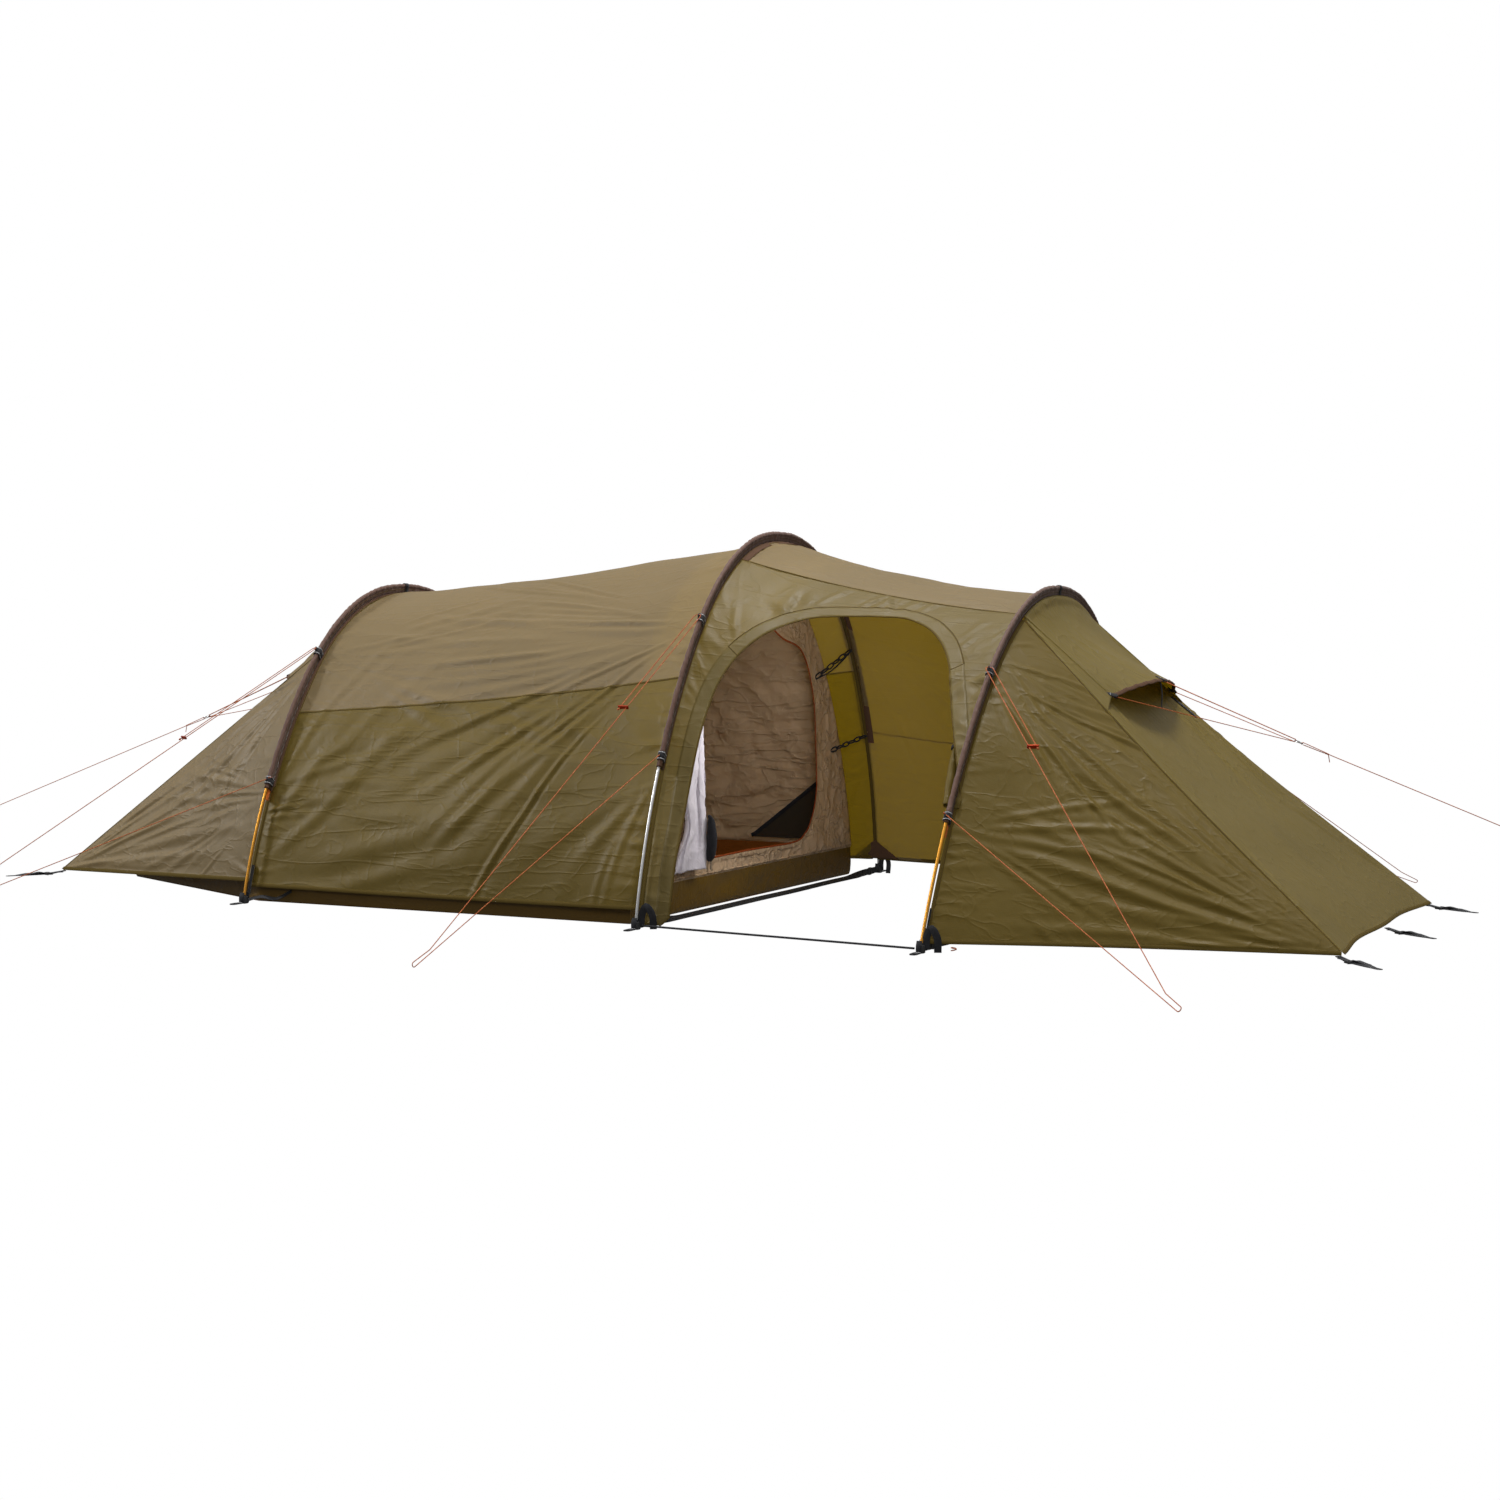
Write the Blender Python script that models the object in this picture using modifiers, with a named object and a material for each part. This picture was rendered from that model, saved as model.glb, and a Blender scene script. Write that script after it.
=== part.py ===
"""Three-hoop tunnel tent, pitched with its side door and inner door open.

Metres. +X points at the entrance end, -Y at the near side with the fly door, +Z up.
The ground is z = 0, and the origin is the middle of the footprint on the ground.
"""

import math

import bmesh
import bpy
import numpy as np
from mathutils import Matrix, Vector

# Hoops: the frame of the tent
REAR_HOOP_X = -1.145
MIDDLE_HOOP_X = 0.205
FRONT_HOOP_X = 1.10
REAR_HOOP_HEIGHT = 0.985
MIDDLE_HOOP_HEIGHT = 1.15
FRONT_HOOP_HEIGHT = 0.983
REAR_HALF_WIDTH = 0.925
MIDDLE_HALF_WIDTH = 0.95
FRONT_HALF_WIDTH = 1.065
POLE_RADIUS = 0.00475
POLE_TIP_Z = 0.0080
FOOT_GRIP_HEIGHT = 0.014
FOOT_RADIUS = 0.013
FOOT_BORE = 0.010
FOOT_HEIGHT = 0.022
FOOT_FLOOR = 0.005
SHOULDER = 0.865

# Cloth and webbing
FABRIC = 0.001
SLEEVE_FABRIC = 0.0008
FLY_INSET = 0.026
FLY_EDGE_GAP = 0.005
SEAM_GAP = 0.002
BAY_SAG = 0.025
SLEEVE_RADIUS = 0.0065
SLEEVE_WEB_HALF = 0.0022
STRAP_WIDTH = 0.025
STRAP_THICKNESS = 0.002

# Fly hems and seams, as heights on the hoops
HEM_HEIGHT = 0.058
FRONT_END_HEM_HEIGHT = 0.035
REAR_END_HEM_HEIGHT = 0.075
REAR_WALL_SEAM_HEIGHT = 0.590
MIDDLE_WALL_SEAM_HEIGHT = 0.725
MIDDLE_ROOF_SEAM_HEIGHT = 1.085
FRONT_ROOF_SEAM_HEIGHT = 0.925

# Sloping ends of the fly
FRONT_CORNER = Vector((2.14, 0.70, 0.020))
FRONT_SEAM_TOP_HEIGHT = 0.915
FRONT_HOOD_CORNER = Vector((1.405, 0.34, 0.672))
FRONT_HOOD_TIP = Vector((1.46, 0.0, 0.712))
REAR_CORNER = Vector((-2.195, 0.48, 0.020))
REAR_SEAM_TOP_HEIGHT = 0.80
REAR_HOOD_CORNER = Vector((-1.34, 0.36, 0.662))
REAR_HOOD_TIP = Vector((-1.605, 0.0, 0.677))
FRONT_BRIM_ROUNDNESS = 2.0
REAR_BRIM_ROUNDNESS = 1.2

# Inner tent
INNER_FRONT_X = 0.140
INNER_INSET = 0.085
INNER_FOOT_X = -1.945
INNER_HALF_WIDTH = 0.855
INNER_FOOT_HALF_WIDTH = 0.42
TUB_HEIGHT = 0.10
INNER_REAR_SCALE = 0.78

# Guylines and their adjusters
CORD_RADIUS = 0.00125
LOW_BAND_OUT = 0.012
HIGH_BAND_OUT = 0.020
PEG_LOOP_Z = 0.009
PEG_LOOP_RADIUS = 0.0065
STRAND_SPACING = 0.022
RUNNER_SIZE = (0.032, 0.010, 0.004)
RUNNER_HOLE_RADIUS = 0.0018
RING_RADIUS = 0.012
RING_WIRE = 0.0015

COLOURS = {
    "fly_tan": (0.26, 0.20, 0.11),
    "fly_olive": (0.17, 0.13, 0.05),
    "sleeve_brown": (0.06, 0.035, 0.028),
    "pole_gold": (0.58, 0.30, 0.05),
    "pole_silver": (0.75, 0.75, 0.76),
    "webbing": (0.012, 0.012, 0.013),
    "inner_cream": (0.40, 0.33, 0.24),
    "inner_grey": (0.48, 0.45, 0.44),
    "tub_brown": (0.09, 0.055, 0.012),
    "cord_orange": (0.62, 0.16, 0.06),
    "runner_red": (0.40, 0.05, 0.015),
    "buckle_black": (0.015, 0.015, 0.016),
    "steel": (0.62, 0.62, 0.62),
}
METALS = {"pole_gold", "pole_silver", "steel"}


class Hoop:
    """One bent pole: a rounded arch in a plane that may lean towards the entrance."""

    def __init__(self, x, half_width, height, foot_exponent, lean_deg=0.0):
        angle = np.linspace(0.0, math.pi, 721)
        across = np.cos(angle)
        self.x = x
        self.lean = math.tan(math.radians(lean_deg))
        self.y = -half_width * np.sign(across) * np.abs(across) ** SHOULDER
        self.z = height * np.abs(np.sin(angle)) ** foot_exponent
        arc = np.append(0.0, np.cumsum(np.hypot(np.diff(self.y), np.diff(self.z))))
        self.fraction = arc / arc[-1]

    def normal(self, fraction):
        """Outward direction in the hoop's plane, at this fraction of its length."""
        ends = np.clip([fraction - 0.006, fraction + 0.006], 0.0, 1.0)
        along_y = np.diff(np.interp(ends, self.fraction, self.y))[0]
        along_z = np.diff(np.interp(ends, self.fraction, self.z))[0]
        return Vector((0.0, -along_z, along_y)).normalized()

    def at(self, fraction, outward=0.0, along=0.0):
        """Point at this fraction of the hoop's length, 0 at the near foot and 1 at the far foot."""
        y = float(np.interp(fraction, self.fraction, self.y))
        z = float(np.interp(fraction, self.fraction, self.z))
        point = Vector((0.0, y, z)) + self.normal(fraction) * outward
        point.x = self.x + point.z * self.lean + along
        return point

    def near(self, height):
        """Fraction at which the near side reaches this height."""
        half = len(self.z) // 2
        return float(np.interp(height, self.z[: half + 1], self.fraction[: half + 1]))


REAR = Hoop(REAR_HOOP_X, REAR_HALF_WIDTH, REAR_HOOP_HEIGHT, 1.62)
MIDDLE = Hoop(MIDDLE_HOOP_X, MIDDLE_HALF_WIDTH, MIDDLE_HOOP_HEIGHT, 1.41, 1.3)
FRONT = Hoop(FRONT_HOOP_X, FRONT_HALF_WIDTH, FRONT_HOOP_HEIGHT, 1.81, 2.3)
HOOPS = {"rear": REAR, "middle": MIDDLE, "front": FRONT}
SLEEVE_END_HEIGHTS = {"rear": 0.346, "middle": 0.455, "front": 0.336}


def material(name):
    """The shared Principled material of this name, with its colour and finish."""
    found = bpy.data.materials.get(name)
    if found:
        return found
    made = bpy.data.materials.new(name)
    made.use_nodes = True
    shader = made.node_tree.nodes["Principled BSDF"]
    shader.inputs["Base Color"].default_value = (*COLOURS[name], 1.0)
    shader.inputs["Metallic"].default_value = 1.0 if name in METALS else 0.0
    shader.inputs["Roughness"].default_value = 0.35 if name in METALS else 0.8
    made.diffuse_color = (*COLOURS[name], 1.0)
    return made


def clear_scene():
    for obj in list(bpy.data.objects):
        bpy.data.objects.remove(obj, do_unlink=True)
    for name in ("tunnel_tent", "cutters"):
        bpy.context.scene.collection.children.link(bpy.data.collections.new(name))


def place(name, data, colour, collection="tunnel_tent"):
    obj = bpy.data.objects.new(name, data)
    bpy.data.collections[collection].objects.link(obj)
    if colour:
        data.materials.append(material(colour))
    return obj


def evaluated_mesh(obj):
    """The object's mesh with its modifiers applied."""
    bpy.context.view_layer.update()
    graph = bpy.context.evaluated_depsgraph_get()
    return bpy.data.meshes.new_from_object(obj.evaluated_get(graph))


def thicken(obj, thickness=FABRIC):
    solid = obj.modifiers.new("thickness", "SOLIDIFY")
    solid.thickness = thickness
    solid.offset = 0.0
    return obj


def sheet(name, rows, colour, thickness=FABRIC):
    """A cloth panel: a grid of points in rows, thickened."""
    mesh = bmesh.new()
    grid = [[mesh.verts.new(point) for point in row] for row in rows]
    for low, high in zip(grid, grid[1:]):
        for i in range(len(low) - 1):
            mesh.faces.new((low[i], low[i + 1], high[i + 1], high[i]))
    data = bpy.data.meshes.new(name)
    mesh.to_mesh(data)
    mesh.free()
    data.shade_smooth()
    return thicken(place(name, data, colour), thickness)


def tube(name, points, radius, colour, resolution=2):
    """A round rod or cord along these points."""
    curve = bpy.data.curves.new(name, "CURVE")
    curve.dimensions = "3D"
    curve.bevel_depth = radius
    curve.bevel_resolution = resolution
    curve.use_fill_caps = True
    spline = curve.splines.new("POLY")
    spline.points.add(len(points) - 1)
    for target, point in zip(spline.points, points):
        target.co = (*point, 1.0)
    return place(name, curve, colour)


def flat_outline(name, outlines, half_thickness, colour, collection="tunnel_tent"):
    """A flat piece in its own XY plane, with the outlines after the first as holes."""
    curve = bpy.data.curves.new(name, "CURVE")
    curve.dimensions = "2D"
    curve.fill_mode = "BOTH"
    curve.extrude = half_thickness
    for outline in outlines:
        spline = curve.splines.new("POLY")
        spline.use_cyclic_u = True
        spline.points.add(len(outline) - 1)
        for target, (x, y) in zip(spline.points, outline):
            target.co = (x, y, 0.0, 1.0)
    return place(name, curve, colour, collection)


def box_mesh(name, size, centre=(0.0, 0.0, 0.0)):
    mesh = bmesh.new()
    bmesh.ops.create_cube(mesh, size=1.0)
    bmesh.ops.scale(mesh, vec=size, verts=mesh.verts)
    bmesh.ops.translate(mesh, vec=centre, verts=mesh.verts)
    data = bpy.data.meshes.new(name)
    mesh.to_mesh(data)
    mesh.free()
    return data


def rod_mesh(name, radius, depth, centre=(0.0, 0.0, 0.0), segments=12):
    mesh = bmesh.new()
    bmesh.ops.create_cone(
        mesh, cap_ends=True, segments=segments, radius1=radius, radius2=radius, depth=depth
    )
    bmesh.ops.translate(mesh, vec=centre, verts=mesh.verts)
    data = bpy.data.meshes.new(name)
    mesh.to_mesh(data)
    mesh.free()
    return data


def carved(base, joins=(), cuts=()):
    """The base mesh with some meshes joined to it and others cut from it."""
    obj = place(base.name, base, None, "cutters")
    tools = []
    for operation, others in (("UNION", joins), ("DIFFERENCE", cuts)):
        for data in others:
            tool = place(data.name, data, None, "cutters")
            step = obj.modifiers.new(data.name, "BOOLEAN")
            step.operation = operation
            step.solver = "EXACT"
            step.object = tool
            tools.append(tool)
    made = evaluated_mesh(obj)
    for used in (obj, *tools):
        bpy.data.objects.remove(used)
    return made


def mirrored(point):
    return Vector((point.x, -point.y, point.z))


def frame_matrix(origin, x_axis, z_axis):
    """Placement of a piece whose local X and Z point along these directions."""
    z = Vector(z_axis).normalized()
    x = Vector(x_axis)
    x = (x - z * x.dot(z)).normalized()
    y = z.cross(x)
    turn = Matrix((x, y, z)).transposed().to_4x4()
    return Matrix.Translation(origin) @ turn


# Poles and sleeves


def sleeve_stations(hoop, end_height):
    """Fractions of the hoop between the two ends of its sleeve."""
    end = hoop.near(end_height)
    return np.linspace(end, 1.0 - end, 31)


def make_pole(name, hoop, end_height, colour):
    foot = np.linspace(hoop.near(POLE_TIP_Z), hoop.near(end_height), 6)[:-1]
    stations = [*foot, *sleeve_stations(hoop, end_height), *(1.0 - foot[::-1])]
    tube(f"{name}_pole", [hoop.at(f) for f in stations], POLE_RADIUS, colour)


def make_sleeve(name, hoop, end_height):
    """A folded strip round the pole, whose two edges run inwards to the fly seam."""
    turn = [math.radians(a) for a in range(-140, 141, 40)]
    section = [(-FLY_INSET, -SLEEVE_WEB_HALF)]
    section += [(SLEEVE_RADIUS * math.cos(a), SLEEVE_RADIUS * math.sin(a)) for a in turn]
    section += [(-FLY_INSET, SLEEVE_WEB_HALF)]
    rows = []
    for f in sleeve_stations(hoop, end_height):
        rows.append([hoop.at(f, out, along) for out, along in section])
    sheet(f"{name}_pole_sleeve", rows, "sleeve_brown", SLEEVE_FABRIC)


# Fly


def bay_point(first, second, s, f_first, f_second):
    """Point of the fly between two hoops, pulled in a little halfway."""
    start = first.at(f_first, -FLY_INSET, FLY_EDGE_GAP)
    end = second.at(f_second, -FLY_INSET, -FLY_EDGE_GAP)
    pull = (first.normal(f_first) + second.normal(f_second)).normalized()
    return start.lerp(end, s) - pull * BAY_SAG * 4.0 * s * (1.0 - s)


def bay_panel(name, first, second, low, high, columns, colour, stations=8):
    """A fly panel between two hoops; low and high give its two edges as fractions on each hoop."""
    rows = []
    for s in np.linspace(0.0, 1.0, stations):
        row = []
        for t in np.linspace(0.0, 1.0, columns):
            f_first = low[0] + (high[0] - low[0]) * t
            f_second = low[1] + (high[1] - low[1]) * t
            row.append(bay_point(first, second, s, f_first, f_second))
        rows.append(row)
    return sheet(name, rows, colour)


def make_main_bay():
    hem = (REAR.near(HEM_HEIGHT), MIDDLE.near(HEM_HEIGHT))
    seam = (REAR.near(REAR_WALL_SEAM_HEIGHT), MIDDLE.near(MIDDLE_WALL_SEAM_HEIGHT))
    roof_low = tuple(f + SEAM_GAP / 2 for f in seam)
    roof_high = tuple(1.0 - f for f in roof_low)
    far_low = tuple(1.0 - f for f in seam)
    far_high = tuple(1.0 - f for f in hem)
    bay_panel("main_near_wall", REAR, MIDDLE, hem, seam, 7, "fly_olive")
    bay_panel("main_roof", REAR, MIDDLE, roof_low, roof_high, 13, "fly_tan")
    bay_panel("main_far_wall", REAR, MIDDLE, far_low, far_high, 7, "fly_olive")


def door_outline():
    """Outline of the door opening in the XZ plane: straight jamb, round top, wide foot."""
    left = MIDDLE_HOOP_X + 0.092
    right = FRONT_HOOP_X + 0.010
    corner = 0.26
    top = 0.890
    points = [(left, -0.05), (left + 0.012, 0.60)]
    for turn in np.linspace(180.0, 90.0, 6)[1:]:
        a = math.radians(turn)
        centre = (left + 0.015 + corner, top - corner)
        points.append((centre[0] + corner * math.cos(a), centre[1] + corner * math.sin(a)))
    for turn in np.linspace(90.0, 20.0, 6):
        a = math.radians(turn)
        centre = (right - 0.09 - corner, top - corner)
        points.append((centre[0] + corner * math.cos(a), centre[1] + corner * math.sin(a)))
    points += [(right + 0.02, 0.39), (right + 0.06, 0.36), (right + 0.06, -0.05)]
    return points


def door_cutter():
    """A block with the door's outline, across the near side."""
    curve = flat_outline("door_shape", [door_outline()], 0.5, None, "cutters")
    data = evaluated_mesh(curve)
    bpy.data.objects.remove(curve)
    data.transform(frame_matrix((0.0, -0.95, 0.0), (1, 0, 0), (0, -1, 0)))
    weld = bmesh.new()
    weld.from_mesh(data)
    bmesh.ops.remove_doubles(weld, verts=weld.verts, dist=1e-5)
    bmesh.ops.recalc_face_normals(weld, faces=weld.faces)
    weld.to_mesh(data)
    weld.free()
    return data


def make_vestibule_bay():
    hem = (MIDDLE.near(HEM_HEIGHT), FRONT.near(HEM_HEIGHT))
    seam = (MIDDLE.near(MIDDLE_ROOF_SEAM_HEIGHT), FRONT.near(FRONT_ROOF_SEAM_HEIGHT))
    whole = bay_panel("whole_door_side", MIDDLE, FRONT, hem, seam, 13, "fly_olive", 10)
    panel = carved(evaluated_mesh(whole), cuts=[door_cutter()])
    bpy.data.objects.remove(whole)
    place("door_side_panel", panel, None)
    roof_low = tuple(f + SEAM_GAP / 2 for f in seam)
    roof_high = tuple(1.0 - f for f in hem)
    bay_panel("vestibule_roof", MIDDLE, FRONT, roof_low, roof_high, 17, "fly_tan")


def end_fan(hoop, along, fractions, corner, steps):
    """Rows of a side panel that fans from a stretch of the hoop to its ground corner."""
    return [[hoop.at(f, -FLY_INSET, along).lerp(corner, v) for f in fractions] for v in steps]


def end_centre(seam_top, corner, margin, steps, columns=9):
    """Rows of the panel between an end's two seams, a little hollow and with a scalloped hem."""
    away = 1.0 if corner.x > seam_top.x else -1.0
    rows = []
    for v in steps:
        edge = seam_top.lerp(corner, v)
        half = abs(edge.y) - margin
        row = []
        for w in np.linspace(-1.0, 1.0, columns):
            inward = 0.022 * (1.0 - w * w) + 0.030 * v**6 * math.sin(math.pi * w) ** 2
            row.append(Vector((edge.x - away * inward, half * w, edge.z + 0.002)))
        rows.append(row)
    return rows


def make_front_end():
    seam = FRONT.near(FRONT_SEAM_TOP_HEIGHT)
    stretch = np.linspace(FRONT.near(FRONT_END_HEM_HEIGHT), seam - SEAM_GAP, 10)
    steps = np.linspace(0.0, 0.985, 9)
    rows = end_fan(FRONT, FLY_EDGE_GAP, stretch, mirrored(FRONT_CORNER), steps)
    sheet("front_near_panel", rows, "fly_olive")
    sheet("front_far_panel", [[mirrored(p) for p in row] for row in rows], "fly_olive")
    seam_top = FRONT.at(seam, -FLY_INSET, FLY_EDGE_GAP)
    rows = end_centre(seam_top, mirrored(FRONT_CORNER), 0.006, np.linspace(0.17, 1.0, 9))
    sheet("front_centre_panel", rows, "fly_olive")


def make_rear_end():
    """Side fans and centre panel of the foot end, sewn into one piece."""
    seam = REAR.near(REAR_SEAM_TOP_HEIGHT)
    stretch = np.linspace(REAR.near(REAR_END_HEM_HEIGHT), seam, 8)
    steps = np.linspace(0.0, 0.985, 9)
    near = end_fan(REAR, -FLY_EDGE_GAP, stretch, mirrored(REAR_CORNER), steps)
    seam_top = REAR.at(seam, -FLY_INSET, -FLY_EDGE_GAP)
    centre = end_centre(seam_top, mirrored(REAR_CORNER), 0.0, steps)
    rows = []
    for side, middle in zip(near, centre):
        rows.append([*side, *middle[1:-1], *(mirrored(p) for p in reversed(side))])
    sheet("rear_end_fly", rows, "fly_olive")


def make_hood(name, hoop, along, seam_height, corner, tip, lift, roundness):
    """A vent hood: from the hoop's top down to an arched brim that stands off the fly."""
    seam = hoop.near(seam_height) + SEAM_GAP
    rows = []
    for v in np.linspace(0.0, 1.0, 6):
        row = []
        for w in np.linspace(-1.0, 1.0, 11):
            start = hoop.at(0.5 + w * (0.5 - seam), -FLY_INSET + lift, along)
            arch = 1.0 - abs(w) ** roundness
            brim = Vector((corner.x + (tip.x - corner.x) * arch, corner.y * w, 0.0))
            brim.z = corner.z + (tip.z - corner.z) * arch
            row.append(start.lerp(brim, v))
        rows.append(row)
    sheet(name, rows, "fly_tan")


def make_hoods():
    make_hood(
        "front_vent_hood",
        FRONT,
        FLY_EDGE_GAP,
        FRONT_SEAM_TOP_HEIGHT,
        FRONT_HOOD_CORNER,
        FRONT_HOOD_TIP,
        0.004,
        FRONT_BRIM_ROUNDNESS,
    )
    make_hood(
        "rear_vent_hood",
        REAR,
        -FLY_EDGE_GAP,
        REAR_SEAM_TOP_HEIGHT,
        REAR_HOOD_CORNER,
        REAR_HOOD_TIP,
        0.006,
        REAR_BRIM_ROUNDNESS,
    )


def make_fly_door_roll():
    """The fly door, rolled up and tied along the entrance side of its opening."""
    points = []
    for t in np.linspace(0.0, 1.0, 9):
        height = 0.80 - 0.38 * t
        fraction = FRONT.near(height)
        points.append(FRONT.at(fraction, -FLY_INSET - 0.040, -0.045 - 0.05 * (1 - t)))
    tube("fly_door_roll", points, 0.018, "fly_olive", 2)


# Inner tent


def tub_half_width(x):
    taper = min(max((x - INNER_FOOT_X) / (REAR_HOOP_X - INNER_FOOT_X), 0.0), 1.0)
    return INNER_FOOT_HALF_WIDTH + (INNER_HALF_WIDTH - INNER_FOOT_HALF_WIDTH) * taper


def make_inner_tub():
    """Floor with a raised edge all round."""
    lift = FABRIC / 2
    plan = [(INNER_FRONT_X, -1), (REAR_HOOP_X, -1), (INNER_FOOT_X, -1)]
    plan += [(x, 1) for x, side in reversed(plan)]
    mesh = bmesh.new()
    floor = [mesh.verts.new((x, s * tub_half_width(x), lift)) for x, s in plan]
    edge = [mesh.verts.new((v.co.x, v.co.y, TUB_HEIGHT)) for v in floor]
    mesh.faces.new(floor)
    for i in range(len(floor)):
        j = (i + 1) % len(floor)
        mesh.faces.new((floor[j], floor[i], edge[i], edge[j]))
    bmesh.ops.recalc_face_normals(mesh, faces=mesh.faces)
    data = bpy.data.meshes.new("inner_floor_tub")
    mesh.to_mesh(data)
    mesh.free()
    obj = thicken(place("inner_floor_tub", data, "tub_brown"))
    obj.modifiers["thickness"].use_even_offset = True


def inner_arch(x, scale, columns):
    """Cross-section of the inner tent at this X; scale 0 is flat on the tub's edge."""
    hoop = REAR if x <= REAR_HOOP_X else MIDDLE
    blend = min(max((x - REAR_HOOP_X) / (MIDDLE_HOOP_X - REAR_HOOP_X), 0.0), 1.0)
    base = TUB_HEIGHT + 0.003
    half = tub_half_width(x)
    row = []
    for f in np.linspace(0.03, 0.97, columns):
        low = REAR.at(f, -INNER_INSET)
        high = MIDDLE.at(f, -INNER_INSET)
        point = low.lerp(high, blend) if hoop is MIDDLE else low
        rise = max(point.z - base, 0.0) * scale
        row.append(Vector((x, point.y, base + rise)))
    widest = max(abs(p.y) for p in row)
    for p in row:
        p.y *= half / widest
    return row


def make_inner_canopy():
    """Roof, side walls and sloping foot end of the inner tent."""
    stations = [(INNER_FRONT_X - 0.003, 1.0), (-0.25, 1.0), (-0.55, 0.98), (-0.85, 0.92)]
    for t in (0.0, 0.3, 0.6, 0.85, 1.0):
        x = REAR_HOOP_X + (INNER_FOOT_X - REAR_HOOP_X) * t
        stations.append((x, INNER_REAR_SCALE * (1.0 - t)))
    rows = [inner_arch(x, scale, 17) for x, scale in stations]
    sheet("inner_canopy", rows, "inner_cream")


def inner_door_outline():
    """D-shaped opening of the inner door, as (y, z)."""
    points = [(-0.40, 0.145), (0.33, 0.145)]
    for turn in np.linspace(-60.0, 10.0, 5):
        a = math.radians(turn)
        points.append((0.345 + 0.19 * math.cos(a), 0.335 + 0.19 * math.sin(a)))
    points += [(0.50, 0.62), (0.40, 0.78)]
    for turn in np.linspace(60.0, 180.0, 8):
        a = math.radians(turn)
        points.append((0.02 + 0.42 * math.cos(a), 0.50 + 0.38 * math.sin(a)))
    points.append((-0.43, 0.30))
    return points


def make_inner_front_wall():
    arch = inner_arch(INNER_FRONT_X, 1.0, 29)
    outlines = [[(p.y, p.z) for p in arch], inner_door_outline()]
    wall = flat_outline("inner_front_wall", outlines, FABRIC / 2, "inner_cream")
    wall.matrix_world = frame_matrix((INNER_FRONT_X + 0.0002, 0.0, 0.0), (0, 1, 0), (1, 0, 0))


def make_inner_door_roll():
    """The inner door, gathered and tied at the near edge of its opening."""
    points = []
    for t in np.linspace(0.0, 1.0, 7):
        points.append((0.165, -0.47 - 0.02 * math.sin(math.pi * t), 0.16 + 0.52 * t))
    tube("inner_door_roll", points, 0.016, "inner_grey", 2)


def make_zip_slider():
    """Slider and pull tab of the inner door's zip, on the straight run along its foot."""
    body = box_mesh("zip_body", (0.006, 0.009, 0.012))
    pull = box_mesh("zip_pull", (0.0016, 0.006, 0.030), (0.0035, 0.0, -0.019))
    slider = place("inner_door_zip_slider", carved(body, joins=[pull]), "steel")
    slider.location = (INNER_FRONT_X + 0.006, -0.33, 0.150)


# Feet, straps and buckles


def foot_mesh():
    """Pocket for a pole's tip with a webbing tab that points along local X."""
    rim = [(FOOT_RADIUS, FOOT_HEIGHT), (FOOT_BORE, FOOT_HEIGHT)]
    profile = [(0.0, 0.0), (FOOT_RADIUS, 0.0), *rim, (FOOT_BORE, FOOT_FLOOR), (0.0, FOOT_FLOOR)]
    mesh = bmesh.new()
    previous = None
    for radius, height in profile:
        vert = mesh.verts.new((radius, 0.0, height))
        if previous:
            mesh.edges.new((previous, vert))
        previous = vert
    data = bpy.data.meshes.new("foot_pocket")
    mesh.to_mesh(data)
    mesh.free()
    pocket = place("foot_pocket", data, None, "cutters")
    screw = pocket.modifiers.new("turn", "SCREW")
    screw.steps = screw.render_steps = 12
    screw.use_merge_vertices = True
    screw.merge_threshold = 1e-5
    screw.use_normal_calculate = True
    turned = evaluated_mesh(pocket)
    bpy.data.objects.remove(pocket)
    tab = box_mesh("foot_tab", (0.060, 0.020, 0.003), (0.036, 0.0, 0.0035))
    eye = box_mesh("foot_tab_eye", (0.012, 0.008, 0.020), (0.054, 0.0, 0.0035))
    return carved(turned, joins=[tab], cuts=[eye])


def make_feet():
    shared = foot_mesh()
    shared.materials.append(material("webbing"))
    for name, hoop in HOOPS.items():
        for side, sign in (("near", -1.0), ("far", 1.0)):
            fraction = hoop.near(FOOT_GRIP_HEIGHT)
            point = hoop.at(fraction if sign < 0 else 1.0 - fraction)
            foot = place(f"{name}_{side}_foot", shared, None)
            foot.location = (point.x, point.y, 0.0)
            foot.rotation_euler = (0.0, 0.0, sign * math.pi / 2)


def make_width_straps():
    for name, hoop in (("middle", MIDDLE), ("front", FRONT)):
        half = hoop.at(hoop.near(FOOT_GRIP_HEIGHT)).y + 0.014
        data = box_mesh(f"{name}_width_strap", (STRAP_THICKNESS, -2.0 * half, STRAP_WIDTH))
        strap = place(f"{name}_width_strap", data, "webbing")
        strap.location = (hoop.x, 0.0, STRAP_WIDTH / 2 + 0.001)


def make_threshold_cord():
    start = Vector((MIDDLE_HOOP_X + 0.018, -MIDDLE_HALF_WIDTH + 0.004, 0.012))
    end = Vector((FRONT_HOOP_X - 0.018, -FRONT_HALF_WIDTH + 0.006, 0.012))
    tube("threshold_cord", [start.lerp(end, t) for t in np.linspace(0.0, 1.0, 5)], 0.002, "webbing")


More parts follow.
